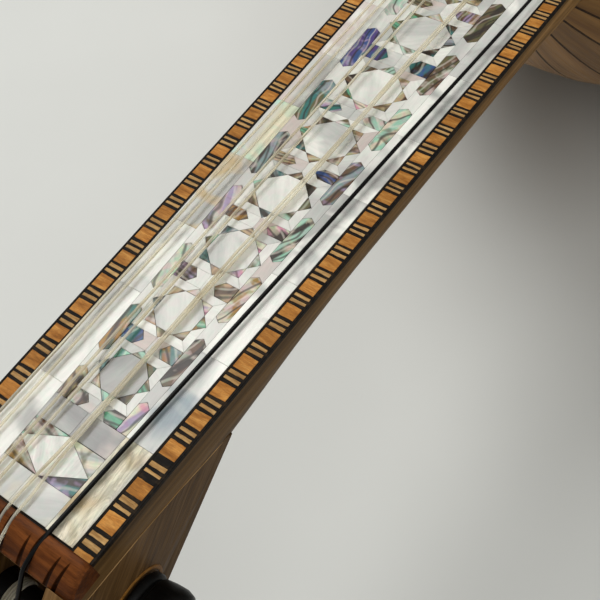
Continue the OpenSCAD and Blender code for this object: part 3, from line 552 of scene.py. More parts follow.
# Lays a tile's shell figure its own way: its points turned by an angle and moved by a drawn offset
def shellTile(outline, colours, lustre, grain=None, ridge=0.0, light=1.0, **settings):
    if lustre > 0.5:
        outline = roundedOutline(np.asarray(outline, float), board["rounding"])
        settings.setdefault("joint", 0.1)
    points, groups = tileSolid(outline, **settings)
    angle = draw.uniform(0, 2 * np.pi) if grain is None else grain + draw.uniform(-0.12, 0.12)
    shift = draw.uniform(-90, 90, 3)
    c, s = math.cos(angle), math.sin(angle)
    place = np.column_stack([points[:, 0] * c + points[:, 1] * s, points[:, 1] * c - points[:, 0] * s,
                             points[:, 2]]) + shift
    names = colours.split()
    names += names[-1:] * (3 - len(names))
    values = {"shellPlace": place, "lustre": np.full(len(points), lustre), "ridge": np.full(len(points), ridge)}
    for key, name in zip(("tintOne", "tintTwo", "tintThree"), names):
        level = light + draw.uniform(-0.04, 0.04)
        values[key] = np.tile(np.append(np.array(tint(*shellTints[name])[:3]) * level, 1.0), (len(points), 1))
    return points, groups, values


def mirroredOutline(outline):
    return np.asarray(outline, float)[::-1] * [1, -1]


# A four-sided piece at fixed distances from the treble edge of the flaring board
def edgePiece(xFrom, xTo, out, inner):
    near, far = boardWidth(xFrom) / 2, boardWidth(xTo) / 2
    return np.array([[xFrom, near - inner], [xTo, far - inner], [xTo, far - out], [xFrom, near - out]], float)


starPlan = {"centres": [30.2, 47.0, 65.2, 83.6, 103.0, 123.8, 147.4, 171.5], "column": 0.17, "houseLength": 0.24,
            "houseWall": 0.7, "barLength": 0.67, "barTip": 0.055}
starX = np.array(starPlan["centres"])
starSize = fieldWidth(starX) / 2
tileHalf = starSize / math.sqrt(2)
starCount = len(starX)
columnWidth = starPlan["column"] * fieldWidth(np.append(starX[0], starX))
columnFrom = np.append(starX[0] - tileHalf[0] - columnWidth[0], starX + tileHalf)
columnTo = np.append(starX - tileHalf, columnFrom[-1] + columnWidth[-1])
columnMid = (columnFrom + columnTo) / 2


def rowY(x):
    return fieldWidth(x) * 0.5 / math.sqrt(2)


# Moves the free corners of the pattern a little, as a fixed wave of their place, and leaves the straight lines
def loosened(outline):
    outline = np.array(outline, float)
    x, y = outline.T
    wave = board["wobble"] * np.stack([np.sin(5.3 * x + 7.9 * y), np.cos(6.7 * x - 4.1 * y)], 1)
    onRow = (np.abs(np.abs(y) - rowY(x)) < 0.02) | (np.abs(np.abs(y) - fieldWidth(x) / 2) < 0.02)
    onColumn = np.abs(x[:, None] - np.concatenate([columnFrom, columnTo])).min(1) < 0.02
    wave[onRow, 1] = 0
    wave[onColumn, 0] = 0
    return outline + wave


# Points on the row of bars: on its inner line, on its outer line and halfway between
def rowLow(x):
    return [x, rowY(x)]


def rowHigh(x):
    return [x, fieldWidth(x) / 2]


def rowMid(x):
    return [x, (rowY(x) + fieldWidth(x) / 2) / 2]


def around(k, radius, degrees):
    a = math.radians(degrees)
    return [starX[k] + radius * math.cos(a), radius * math.sin(a)]


def octagonCorner(k, degrees):
    return around(k, starSize[k] / 2 / math.cos(math.radians(22.5)), degrees)


def starOutline(k):
    return [octagonCorner(k, 22.5 + 45 * i) for i in range(8)]


def pointOutline(k, degrees):
    return [octagonCorner(k, degrees - 22.5), around(k, tileHalf[k], degrees), octagonCorner(k, degrees + 22.5)]


# One eighth of the ground round a star, from its tile's edge to the notch between two star points
def groundOutline(k, end, along):
    x = starX[k] + end * tileHalf[k]
    corner = [x, rowY(x)]
    tip = [starX[k] + end * starSize[k] / 2, starSize[k] / 2]
    notch = octagonCorner(k, 90 - end * (22.5 if along else 67.5))
    middle = [starX[k], tileHalf[k]] if along else [x, 0.0]
    return [middle, notch, tip, corner]


def houseOutline(k):
    x0, x1, m = columnFrom[k], columnTo[k], columnMid[k]
    length = starPlan["houseLength"] * fieldWidth(m)
    wall = starPlan["houseWall"] * length
    return np.array([[x0, rowY(x0)], [x0, rowY(x0) - wall], [m, rowY(m) - length], [x1, rowY(x1) - wall],
                     [x1, rowY(x1)]], float)


def barFrom(k):
    return columnFrom[0] if k == 0 else columnMid[k] - starPlan["barLength"] * fieldWidth(columnMid[k]) / 2


def barTo(k):
    last = k == starCount
    return columnTo[k] if last else columnMid[k] + starPlan["barLength"] * fieldWidth(columnMid[k]) / 2


def barTip(k):
    return starPlan["barTip"] * fieldWidth(columnMid[k])


def barOutline(k):
    x0, x1, tip = barFrom(k), barTo(k), barTip(k)
    t0, t1 = (0 if k == 0 else tip), (0 if k == starCount else tip)
    points = [rowMid(x0)] if t0 else []
    points += [rowLow(x0 + t0), rowLow(x1 - t1)]
    points += [rowMid(x1)] if t1 else []
    points += [rowHigh(x1 - t1), rowHigh(x0 + t0)]
    return np.array(points, float)


def rowGroundOutline(k):
    x0, x1, t0, t1 = barTo(k), barFrom(k + 1), barTip(k), barTip(k + 1)
    return np.array([rowMid(x0), rowLow(x0 - t0), rowLow(x1 + t1), rowMid(x1), rowHigh(x1 + t1),
                     rowHigh(x0 - t0)],
                    float)


# A plain plate across the field between two lines, cut in pieces side by side
def crossOutlines(xFrom, xTo, cuts):
    near, far = fieldWidth(xFrom), fieldWidth(xTo)
    return [np.array([[xFrom, a * near], [xTo, a * far], [xTo, b * far], [xFrom, b * near]], float)
            for a, b in zip(cuts[:-1], cuts[1:])]


# Each piece's three tints, one row of pieces for either side where the table has sides 1 and -1
barShades = {
    1: ["umber brown sand", "gold brown teal", "cream rose mint", "lavender rose brown", "umber blueGrey grey",
        "teal olive blueGrey", "violet blue lavender", "white mist mint", "brown sand teal"],
    -1: ["cream lavender pink", "umber brown rose", "cream rose gold", "umber mint cream", "brown blueGrey lavender",
         "cream mint brown", "olive brown rose", "umber olive brown", "brown cream teal"]}
houseShades = {
    1: ["brown white umber", "teal blue mint", "umber lavender brown", "brown gold umber", "brown sand rose",
        "lavender teal white", "violet teal blue", "olive brown sand", "teal brown mint"],
    -1: ["green umber grey", "teal gold blueGrey", "brown sand umber", "cream pink umber", "blue umber sand",
         "rose mint cream", "umber teal blue", "brown lavender sand", "green brown sand"]}
pointShades = ["umber brown teal", "teal mint green", "pink cream lavender", "brown sand olive",
               "umber olive brown", "mint olive white", "brown umber sand", "sand rose brown",
               "olive green gold", "umber blueGrey teal", "brown umber olive"]
groundShades = ["white snow", "mist white", "white mist", "white white", "mist rose", "snow white"]
# Per-star tints: the pieces' own greys and whites, partly painted reflection, set star by star for the lamp's glare
centreTintsAndSheen = ["grey ash", "mist white", "white mist", "snow white", "snow mist", "white snow", "mist white",
                "white mist"]


def layShell(name, tiles, material, slotName, node):
    makeJoined(name, tiles, material, slotName=slotName, nodes=[node], sharp=20)


def pickShade(shades):
    return shades[draw.integers(len(shades))]


# An outline as it is on the treble side, and mirrored on the bass side
def onSide(outline, side):
    return outline if side > 0 else mirroredOutline(outline)


centreTiles = [shellTile(loosened(starOutline(k)), centreTintsAndSheen[k], 0.05, joint=0.08) for k in range(starCount)]
layShell("starCentres", centreTiles, whiteShell, "white_pearl", "star_centres")

pointTiles = [shellTile(loosened(pointOutline(k, a)), pickShade(pointShades), 0.8) for k in range(starCount)
              for a in range(0, 360, 45)]
layShell("starPoints", pointTiles, colourShell, "abalone", "star_points")

houseTiles = [shellTile(loosened(onSide(houseOutline(k), side)), houseShades[side][k], 1.0)
              for k in range(starCount + 1) for side in (1, -1)]
layShell("houseBars", houseTiles, colourShell, "abalone", "house_bars")

barTiles = [shellTile(loosened(onSide(barOutline(k), side)), barShades[side][k], 1.0, grain=side * 0.35)
            for k in range(starCount + 1) for side in (1, -1)]
layShell("sideBars", barTiles, colourShell, "abalone", "side_bars")

ground = {"joint": 0.025, "panelFrom": 6.6, "panelTo": 15.3, "panelTip": 10.95, "startPlate": 0.5}
groundTiles = []


def layGround(outline, shades=None, lustre=0.0, **settings):
    settings.setdefault("joint", ground["joint"])
    groundTiles.append(shellTile(loosened(outline), shades or pickShade(groundShades), lustre, **settings))


for k in range(starCount):
    for side in (1, -1):
        for end in (-1, 1):
            for along in (False, True):
                layGround(onSide(groundOutline(k, end, along), side))
        layGround(onSide(rowGroundOutline(k), side), grain=0.0)
for k in range(starCount + 1):
    upper = np.array([[columnFrom[k], 0.0], [columnTo[k], 0.0], *houseOutline(k)[3:0:-1].tolist()])
    layGround(upper)
    layGround(mirroredOutline(upper))
for outline in crossOutlines(ground["startPlate"], ground["panelFrom"], [-0.5, 0.06, 0.5]):
    layGround(outline, "mist white cream", light=0.94)
for outline in crossOutlines(ground["panelTo"], columnFrom[0], [-0.5, 0.02, 0.5]):
    layGround(outline, "ash grey rose", grain=1.57)
for outline in crossOutlines(columnTo[starCount], board["length"], [-0.5, -0.16, 0.17, 0.5]):
    layGround(outline, "white mist", grain=0.0)
layShell("pearlGround", groundTiles, whiteShell, "white_pearl", "pearl_ground")

# The long plates beside the field; the first one on the bass side has deep ridges, with painted shade in their
# furrows
band = {"light": 1.16, "ridge": 3.5,
        "joints": {-1: [0.4, 20.7, 42.2, 64.7, 90.6, 112.5, 136.7, 160.0, 184.0, 206.0],
                   1: [0.4, 22.8, 46.8, 66.0, 88.5, 108.8, 128.6, 152.0, 178.0, 206.0]},
        "shades": {-1: ["cream snow sand", "mist snow blueGrey", "white snow grey", "mist grey snow",
                        "snow white grey", "mist snow grey", "snow mist grey", "mist snow",
                        "white mist"],
                   1: ["mist white grey", "grey white mist", "mist grey white", "grey mist sand",
                       "cream mist mint", "rose grey mist", "mist rose white", "mist white",
                       "white mist"]}}
bandTiles = []
for side in (1, -1):
    joints = band["joints"][side]
    for i in range(len(joints) - 1):
        outline = edgePiece(joints[i], joints[i + 1], edgeWidth, edgeWidth + board["bandWidth"])
        ridge = band["ridge"] if (side, i) == (-1, 0) else 0.0
        bandTiles.append(shellTile(onSide(outline, side), band["shades"][side][i], 0.0, grain=0.0, ridge=ridge,
                                   light=band["light"]))
layShell("pearlBands", bandTiles, whiteShell, "white_pearl", "pearl_bands")

panelTiles = []
cornerShades = {(1, -1): "gold rose brown", (1, 1): "mint brown rose",
                (-1, -1): "umber teal lavender", (-1, 1): "cream mist olive"}
for side in (1, -1):
    tip = [ground["panelTip"], side * fieldWidth(ground["panelTip"]) / 2]
    left, right = [ground["panelFrom"], 0.0], [ground["panelTo"], 0.0]
    panelTiles.append(shellTile([left, right, tip], "snow white", 0.0))
    for end, near in ((-1, left), (1, right)):
        far = [near[0], side * fieldWidth(near[0]) / 2]
        lustre = 0.3 if (side, end) == (-1, 1) else 0.9
        panelTiles.append(shellTile([near, far, tip], cornerShades[(side, end)], lustre, grain=1.2 * side))
layShell("panelDiamonds", panelTiles, colourShell, "white_pearl", "panel_diamonds")
print("shell inlay laid:", sum(map(len, (centreTiles, pointTiles, houseTiles, barTiles, groundTiles, bandTiles))))

sticks = {"block": 3.3, "stick": 0.76, "skew": 0.12, "ragged": 0.045,
          -1: [("orange", 1.1), ("black", 0.75), ("tan", 1.0), ("black", 0.75), ("tan", 1.05), ("black", 0.85),
               ("orange", 3.4), ("black", 0.75), ("tan", 0.7), ("black", 0.65), ("tan", 1.2), ("black", 0.7),
               ("orange", 3.2), ("black", 1.45), ("tan", 0.6), ("black", 0.7), ("tan", 0.9), ("black", 1.75),
               ("orange", 3.35)],
          1: [("tan", 0.2), ("black", 0.4), ("orange", 3.3)]}


# The marquetry's pieces from the nut on: each a strip between two slanted, slightly ragged ends
def stickRow(side):
    row = list(sticks[side])
    black, tan = ("black", sticks["stick"]), ("tan", sticks["stick"])
    regular = [black, tan, black, tan, black, ("orange", sticks["block"])]
    while sum(length for _, length in row) < board["length"] + 8:
        row += regular
    ends = np.cumsum([0.0] + [length for _, length in row])
    share = np.linspace(0, 1, 5)
    slant = draw.uniform(-sticks["skew"], sticks["skew"], (len(ends), 2))
    cuts = ends[:, None] + slant[:, :1] * (1 - share) + slant[:, 1:] * share
    cuts += draw.uniform(-sticks["ragged"], sticks["ragged"], cuts.shape)
    cuts[0] = 0
    made = {"orange": [], "tan": [], "black": []}
    inner, outer = edgeWidth - board["lineWidth"], board["lineWidth"]
    for i, (kind, _) in enumerate(row):
        if ends[i + 1] > board["length"] - 0.6:
            cuts[i + 1] = board["length"]
        low, high = cuts[i], cuts[i + 1]
        off = inner + (outer - inner) * share
        outline = np.concatenate([np.column_stack([low, boardWidth(low) / 2 - off]),
                                  np.column_stack([high, boardWidth(high) / 2 - off])[::-1]])[::-1]
        points, groups = tileSolid(onSide(outline, side), joint=0.02, top=-0.01 if kind == "black" else 0.0,
                                   bevel=0.02)
        tone = {"stickTone": np.full(len(points), draw.uniform(0.84, 1.12))}
        made[kind].append((points, groups, tone))
        if cuts[i + 1, 0] >= board["length"]:
            break
    return made


rows = [stickRow(side) for side in (1, -1)]
for kind, materialName, pieceName, node, slotName in (
        ("orange", "orangeWood", "marquetryBlocks", "marquetry_blocks", "orange_wood"),
        ("tan", "tanWood", "marquetryLightSticks", "marquetry_light_sticks", "tan_wood"),
        ("black", "blackWood", "marquetryDarkSticks", "marquetry_dark_sticks", "black_wood")):
    makeJoined(pieceName, [tile for row in rows for tile in row[kind]], wood[materialName], slotName=slotName,
               nodes=[node], sharp=20)

lineSet = []
for out in (0.0, edgeWidth - board["lineWidth"]):
    outline = edgePiece(0, board["length"], out, out + board["lineWidth"])
    for shape in (outline, mirroredOutline(outline)):
        points, groups = tileSolid(shape, joint=0.0, bevel=0.06, thick=board["bed"])
        lineSet.append((points, groups, {"stickTone": np.full(len(points), 0.7)}))
makeJoined("marquetryLines", lineSet, wood["blackWood"], slotName="black_wood", nodes=["marquetry_lines"],
           sharp=20)

# The dark bed that the shell is set in, which shows in the joints
bedNear, bedFar = (boardWidth(x) / 2 - board["lineWidth"] for x in (0.0, board["length"]))
bedOutline = np.array([[0.0, bedNear], [board["length"], bedFar], [board["length"], -bedFar], [0.0, -bedNear]])
points, groups = tileSolid(bedOutline, joint=0.0, top=-board["thick"], bevel=0.01, thick=board["bed"])
makePiece("shellBed", points, groups, wood["blackWood"], slotName="black_wood",
          attributes={"stickTone": np.full(len(points), 0.9)}, sharp=20)
print("marquetry laid")

nut = {"length": 6.5, "width": 38.0, "seat": -5.4, "rear": -3.6, "top": 0.8, "taper": 0.89,
       "crownFrom": 0.16, "crownPower": 1.75, "lipTo": 0.04, "lipDrop": 0.22, "endRound": 1.1, "endDrop": 0.6,
       "half": 0.42, "wider": 0.16, "deep": 0.5, "deeper": 0.4,
       "openFrom": 0.26, "openHalf": 0.1, "openWider": 0.42, "openDeep": 1.15,
       "slots": [14.15, 12.05, 7.0, 4.9, -0.15, -2.25, -7.3, -9.4, -14.45, -16.55],
       "strung": [1, 1, 1, 1, 1, 1, 0, 1, 0, 0],
       "plain": [-16.0, -13.3, -12.0, -10.7, -8.35, -6.2, -5.0, -3.7, -1.2, 0.9, 2.2, 3.6, 5.95, 8.1, 9.5, 10.9,
                 13.1, 15.2, 16.2]}


# The nut: its top falls back as a power curve, and each groove is half an ellipse cut into it, wider to the
# rear; a groove with no string in it starts a quarter of the way back. Rows run from front to rear, columns
# across, closer together where a groove is. The tone is painted shade, darkening the grooves and the front lip;
# below, the rear face grows lighter towards its foot
def buildNut(look):
    t = np.concatenate([[0, 0.012, 0.04], np.linspace(0.08, 1, 30)])
    squeeze = (1 - (1 - look["taper"]) * t)[:, None]
    slots, strung = np.array(look["slots"]), np.array(look["strung"], bool)
    opened = np.clip((t[:, None] - look["openFrom"]) / (1 - look["openFrom"]), 0, 1)
    width = np.where(strung, look["half"] + look["wider"] * t[:, None],
                     look["openHalf"] + look["openWider"] * opened ** 0.7)
    depth = np.where(strung, look["deep"] + look["deeper"] * t[:, None], look["openDeep"] * opened ** 0.6)
    across = np.array([-1.3, -1.0, -0.94, -0.75, -0.45, 0, 0.45, 0.75, 0.94, 1.0, 1.3])
    cutY = (slots * squeeze)[..., None] + across * width[..., None]
    hollow = np.sqrt(np.clip(1 - across ** 2, 0, 1))
    half = look["width"] / 2
    plain = np.array(look["plain"])
    plain = plain[np.abs(plain[:, None] - slots).min(1) > 0.6]
    sides = np.array([17.6, 18.2, 18.6, 18.85, half])
    y = np.concatenate([-sides[::-1] + 0 * t[:, None], cutY.reshape(len(t), -1), plain * squeeze,
                        sides + 0 * t[:, None]], 1)
    fall = np.clip((t - look["crownFrom"]) / (1 - look["crownFrom"]), 0, 1) ** look["crownPower"]
    crown = look["top"] - (look["top"] - look["rear"]) * fall
    crown = crown - look["lipDrop"] * np.clip(1 - t / look["lipTo"], 0, 1) ** 2
    sink = np.concatenate([np.zeros((len(t), 5)), (depth[..., None] * hollow).reshape(len(t), -1),
                           np.zeros((len(t), len(plain) + 5))], 1)
    # Painted shade: each groove darkens with its depth, and the front lip darkens too
    tone = 1 - 0.72 * np.clip(sink / 0.45, 0, 1) - 0.45 * np.clip(1 - t / 0.02, 0, 1)[:, None]
    order = np.argsort(y[0])
    y, sink, tone = y[:, order], sink[:, order], np.clip(tone[:, order], 0.2, 1)
    top = crown[:, None] - sink - look["endDrop"] * smoothStep(half - look["endRound"], half, np.abs(y)) ** 2
    top = np.maximum(top, look["seat"] + 0.7)
    x = np.broadcast_to(-look["length"] * t[:, None], y.shape)
    upper = np.stack([x, y, top], -1)
    lower = np.stack([x, y, np.full(y.shape, look["seat"])], -1)
    rows, cols = y.shape
    edge = np.concatenate([np.arange(cols), np.arange(1, rows) * cols + cols - 1,
                           (rows - 1) * cols + np.arange(cols - 1)[::-1], np.arange(1, rows - 1)[::-1] * cols])
    walls = np.stack([np.roll(edge, -1), edge, edge + rows * cols, np.roll(edge, -1) + rows * cols], -1)
    groups = [gridFaces(rows, cols, False), gridFaces(rows, cols, False, rows * cols)[:, ::-1], walls]
    lowerTone = np.where(t[:, None] > 0.99, 1.9, 0.9) + 0 * y
    makePiece("nut", np.concatenate([upper.reshape(-1, 3), lower.reshape(-1, 3)]), groups, wood["nutWood"],
              slotName="nut_wood", nodes=["nut"], sharp=38,
              attributes={"nutShading": np.concatenate([tone.ravel(), lowerTone.ravel()])})


buildNut(nut)
print("nut cut")

# The neck: sections that go from nearly square at the nut to round at the body
neck = {"axis": -3.6, "top": -2.2, "square": 3.4, "deepNut": 18.0, "deepMid": 17.1, "deepBody": 26.7,
        "scarf": [(-6.5, -8.2), (10.0, -8.4), (20.0, -9.1), (34.0, -11.7), (36.0, -13.0)], "heel": 36.0,
        "lean": 1.1, "paler": 0.75, "squareOver": (14, 80), "midOver": (30, 56), "bodyOver": (150, 206),
        "leanOver": (36, 72), "paleOver": (30, 150)}


# Half width a, depth d and power n of the neck's section at x
def neckSection(look, x):
    power = 2 + (look["square"] - 2) * (1 - smoothStep(*look["squareOver"], x))
    deep = look["deepNut"] + (look["deepMid"] - look["deepNut"]) * smoothStep(*look["midOver"], x)
    deep = deep + (look["deepBody"] - look["deepMid"]) * smoothStep(*look["bodyOver"], x)
    return boardWidth(x) / 2, deep, power


# Section at x: |y/a|^n + |z/d|^n = 1 below the axis, with n, a and d changing along x. Towards the nut the
# scarf cuts it off, and behind the heel its deeper points lean back along the pegbox
def buildNeck(look):
    cutRows = np.array([-6.5, -4.5, -2.0, -0.001, 0.0, 4, 8, 10, 13, 16, 20, 24, 28, 31, 34, 36.0])
    fullRows = np.array([36.001, 37, 39, 42, 46, 50, 55, 60, 66, 72, 80, 88, 98, 110, 124, 138, 150, 158, 166,
                         174, 182, 190, 198, 206.0])
    x = np.concatenate([cutRows, fullRows])[:, None]
    half, deep, n = neckSection(look, x)
    a = np.linspace(0, np.pi, 41)[None]
    y = half * np.sign(np.cos(a)) * np.abs(np.cos(a)) ** (2 / n)
    z = look["axis"] - deep * np.abs(np.sin(a)) ** (2 / n)
    top = np.where(x < 0, nut["seat"], look["top"])
    y = np.concatenate([half, y, -half], 1)
    z = np.concatenate([top, z, top], 1)
    places = np.array(look["scarf"])
    limit = np.where(x <= look["heel"], np.interp(x, places[:, 0], places[:, 1]), -99)
    z = np.minimum(np.maximum(z, limit), top)
    below = np.clip(places[-1, 1] - z, 0, None)
    lean = look["lean"] * below * np.where(x > look["heel"], 1 - smoothStep(*look["leanOver"], x), 0)
    points = np.stack([x - lean, y, z], -1)
    rows, cols = y.shape
    tone = 1 + look["paler"] * smoothStep(*look["paleOver"], x) + 0 * y
    makePiece("neckCore", points, tubeFaces(rows, cols), wood["neckLong"], slotName="neck_wood",
              nodes=["neck_core"], attributes={"paleness": tone.ravel()}, sharp=30)


buildNeck(neck)

# The glued seam between neck and pegbox: a thin pale line along the scarf, at the section's edge
seam = {"from": -6.3, "to": 35.2, "radius": 0.1}
seamX = np.linspace(seam["from"], seam["to"], 40)
seamZ = np.interp(seamX, *np.array(neck["scarf"]).T)
seamHalf, seamDeep, seamPower = neckSection(neck, seamX)
seamY = seamHalf * (1 - np.abs((seamZ - neck["axis"]) / seamDeep) ** seamPower) ** (1 / seamPower)
seamSet = [tubeAlong(np.column_stack([seamX, side * seamY, seamZ]), seam["radius"], 6) for side in (1.0, -1.0)]
makeJoined("scarfSeam", seamSet, wood["blockWood"], slotName="neck_wood", sharp=60)
print("neck shaped")

pegbox = {"angle": 47.3, "length": 200.0, "depth": 38.0, "endDepth": 24.0, "endWidth": 22.0, "top": -3.0,
          "cheek": 5.5, "firstPeg": 12.6, "pitch": 18.0, "share": 0.63}
bend = math.radians(pegbox["angle"])
boxTaper = math.atan((board["nutWidth"] - pegbox["endWidth"]) / 2 / pegbox["length"])


# Along the pegbox p and down into it q, to a neck place: the open front turned down by the bend
def boxPlace(p, q, y=0.0):
    return np.array([-nut["length"] - p * math.cos(bend) + q * math.sin(bend), y,
                     pegbox["top"] - p * math.sin(bend) - q * math.cos(bend)])


def boxDepth(p):
    return pegbox["depth"] + (pegbox["endDepth"] - pegbox["depth"]) * p / pegbox["length"]


def cheekY(p):
    return board["nutWidth"] / 2 - p * math.tan(boxTaper)


# Where peg k stands in the pegbox: how far along it, and how deep down
def pegP(k):
    return pegbox["firstPeg"] + (k - 1) * pegbox["pitch"]


def pegQ(k):
    return pegbox["share"] * boxDepth(pegP(k))


peg = {"count": 10, "radius": 4.0, "tip": 3.2, "tipPast": 1.5, "collar": 6.4, "collarGap": 0.6,
       "collarLength": 5.0, "neck": 3.4, "neckLength": 13.0, "headRadius": 12.0, "headThick": 4.0,
       "headOver": 0.8, "oval": 0.05, "egg": 0.03, "fullness": 0.42, "dish": 0.32, "turnStep": 37}


# The peg's head: an oval in the plane of the peg, thinned by a flattened ellipse across it
def pegHead(centre, axis, across, look):
    u = fullTurn(56)
    v = np.linspace(-np.pi / 2, np.pi / 2, 19)[1:-1]
    normal = np.cross(axis, across)
    outline = look["headRadius"] * (1 - look["oval"] * np.cos(2 * u) + look["egg"] * np.sin(u))
    spread = np.abs(np.cos(v)) ** look["fullness"]
    rise = np.sin(v) * look["headThick"] * (0.78 + 0.22 * np.abs(np.sin(v)) ** 3)
    ring = np.cos(u)[:, None] * across + np.sin(u)[:, None] * axis
    dish = rise[:, None] * (1 - look["dish"] * (1 - spread[:, None]) ** 0.5)
    points = centre + (spread[:, None, None] * outline[None, :, None]) * ring[None] + dish[:, :, None] * normal
    return points.reshape(-1, 3), tubeFaces(len(v), len(u))


def buildPeg(k, look):
    side = -1.0 if k % 2 else 1.0
    edge = cheekY(pegP(k))
    inner = edge - pegbox["cheek"] - 1
    collar = edge + look["collarGap"]
    head = collar + look["collarLength"] + look["neckLength"]
    turn = math.radians(180 - pegbox["angle"] + look["turnStep"] * k)
    across = np.array([math.cos(turn), 0.0, -math.sin(turn)])
    axis = np.array([0.0, side, 0.0])
    centre = boxPlace(pegP(k), pegQ(k))
    tip, radius, rim, neckR = look["tip"], look["radius"], look["collar"], look["neck"]
    end = -edge - look["tipPast"]
    profile = [(tip - 1.0, end), (tip - 0.35, end + 0.1), (tip, end + 0.6), (tip, -inner),
               (tip + 0.3, 0.6 - inner), (radius, 1.2 - inner), (radius, collar), (rim - 0.5, collar),
               (rim, collar + 0.4), (rim, collar + 1.6), (rim - 0.25, collar + 2.0), (rim - 0.9, collar + 2.2),
               (rim - 0.9, collar + 2.5),
               (rim - 0.3, collar + 2.8), (rim + 0.1, collar + 5.0), (rim + 0.3, collar + 7.4),
               (rim - 0.1, collar + 9.0), (rim - 1.2, collar + 10.2), (neckR + 0.8, collar + 11.4),
               (neckR + 0.1, collar + 13.0), (neckR + 0.2, head - 2.2), (neckR + 0.9, head - 0.6),
               (neckR + 0.4, head + 0.6), (neckR - 0.6, head + 1.4)]
    shank = lathed(profile, centre, axis, across)
    crown = pegHead(centre + axis * (head + look["headRadius"] * look["headOver"]), axis, across, look)
    makeJoined(f"peg{k}", [shank, crown], wood["pegWood"], body=f"peg_{k}_body", slotName="peg_black",
               nodes=[f"peg_{k}"], sharp=50)


for k in range(1, peg["count"] + 1):
    buildPeg(k, peg)

# A pale ring on the cheek round each peg hole, square to the cheek, which tapers
holeRim = {"gap": 0.15,
           "profile": [(0.0, -0.5), (0.9, -0.5), (0.9, 0.12), (0.7, 0.26), (0.2, 0.26), (0.0, 0.1)]}
rimSet = []
for k in range(1, peg["count"] + 1):
    for face in (1.0, -1.0):
        near = (face < 0) == (k % 2 == 1)
        hole = (peg["collar"] if near else peg["tip"]) + holeRim["gap"]
        centre = boxPlace(pegP(k), pegQ(k), face * cheekY(pegP(k)))
        loop = np.array(holeRim["profile"]) + [hole, 0.0]
        a = fullTurn(40)
        ringSide = np.cos(a)[:, None] * np.array([math.cos(bend), face * math.tan(boxTaper), math.sin(bend)]) \
            + np.sin(a)[:, None] * np.array([-math.sin(bend), 0, math.cos(bend)])
        points = centre + loop[:, 0, None, None] * ringSide[None] \
            + loop[:, 1, None, None] * np.array([0, face, 0])
        rimSet.append((points.reshape(-1, 3), loopFaces(len(loop), len(a))))
makeJoined("pegHoleRims", rimSet, wood["rimWood"], slotName="neck_wood", sharp=40)
print("pegs turned")

# One entry per string in slots, pegs, holes, lean, pull and wave; the last string is the thick black one
strings = {"slots": [1, 2, 3, 4, 5, 6, 8], "pegs": [2, 4, 6, 8, 10, 9, 5], "length": 600.0, "height": 6.0,
           "holes": [26.8, 23.2, 11.3, 7.7, -4.2, -7.8, -38.8],
           "lean": [-0.0064, -0.0058, -0.0052, -0.0050, -0.0155, -0.0120, -0.0064],
           "pull": [0.0, 0.0, 0.0, 0.0, -0.35, 0.95, 0.0], "wave": [0.05, 0.06, 0.05, 0.06, 0.22, 0.16, 0.05],
           "leanTo": 200, "leanFades": (240, 600), "pullOver": (1.5, 13), "pullFades": (300, 600),
           "waveOver": (2, 14), "waveFades": (380, 590), "bridge": 12.0, "bridgeTop": 10.0,
           "thin": {"radius": 0.32, "turns": 4.4},
           "thick": {"radius": 0.45, "turns": 2.9}}
stringCount = len(strings["slots"])


def gaugeOf(i):
    return strings["thick" if i == stringCount - 1 else "thin"]


# The string's sideways drift from a straight line: a slight lean over the neck that fades out to the bridge,
# a pull to one side and a small wave
def drift(i, x):
    lean = strings["lean"][i] * np.where(x < strings["leanTo"], x, strings["leanTo"])
    pull = strings["pull"][i] * smoothStep(*strings["pullOver"], x)
    wave = strings["wave"][i] * np.sin(x / (6.1 + 1.3 * i) + 2.1 * i) * smoothStep(*strings["waveOver"], x)
    return (lean * (1 - smoothStep(*strings["leanFades"], x))
            + pull * (1 - smoothStep(*strings["pullFades"], x))
            + wave * (1 - smoothStep(*strings["waveFades"], x)))


# From the peg's front up to the nut, over the nut in an arc, and straight on to the bridge
def stringPath(i):
    radius = gaugeOf(i)["radius"]
    y0 = nut["slots"][strings["slots"][i] - 1]
    start = np.array([-0.7, y0, nut["top"] - 0.02])
    end = np.array([strings["length"], strings["holes"][i], strings["height"]])
    rest = np.array([-nut["length"] - 0.3, y0 * nut["taper"], -2.95])
    k = strings["pegs"][i]
    front = boxPlace(pegP(k), pegQ(k) - peg["radius"] - 0.8 - radius - 0.1, y0 / 2)
    over = rest + (front - rest) * 0.02
    x = np.concatenate([np.linspace(0, 24, 25), np.linspace(26, 200, 80), np.linspace(206, 596, 70)])
    share = (x - start[0]) / (end[0] - start[0])
    run = start + (end - start) * share[:, None]
    run[:, 1] += drift(i, x)
    nutArc = smoothPath([over + (front - rest) * 0.03, rest + [0.1, 0, 0.05],
                         rest * 0.62 + start * 0.38 + [0, 0, 0.52], start * 0.9 + rest * 0.1 + [0, 0, 0.04],
                         run[1]], 6)[:-1]
    down = front + (nutArc[0] - front) * np.linspace(0, 1, 14)[:, None]
    return radius, np.concatenate([down[:-1], nutArc, run[1:]]), end


# The tie at the bridge: through the hole, up over the bridge, down in front and once round the string. x is
# counted from the hole's front, z from the hole or, over the bridge, from its top
def tiePath(end, radius):
    back, top = strings["bridge"], strings["bridgeTop"] + radius - end[2]
    return end + smoothPath([
        [-4, 0, -0.02], [0.5, 0, 0], [back, 0, 0.1], [back + 1.6, 0.1, 0.8], [back + 1.3, 0.2, top - 2.2],
        [back - 1.6, 0.3, top + 0.15], [back / 2, 0.5, top + 0.05], [1.4, 0.7, top + 0.05], [-0.9, 0.9, top - 1.4],
        [-1.4, 1.1, 0.6], [-1.7, 0.2, -0.95], [-1.5, -1.1, -0.1], [-1.1, -0.9, 1.3], [-0.9, 0.1, 1.9],
        [-1.9, 2.6, 1.4], [-4.0, 4.6, 0.5]], 6)


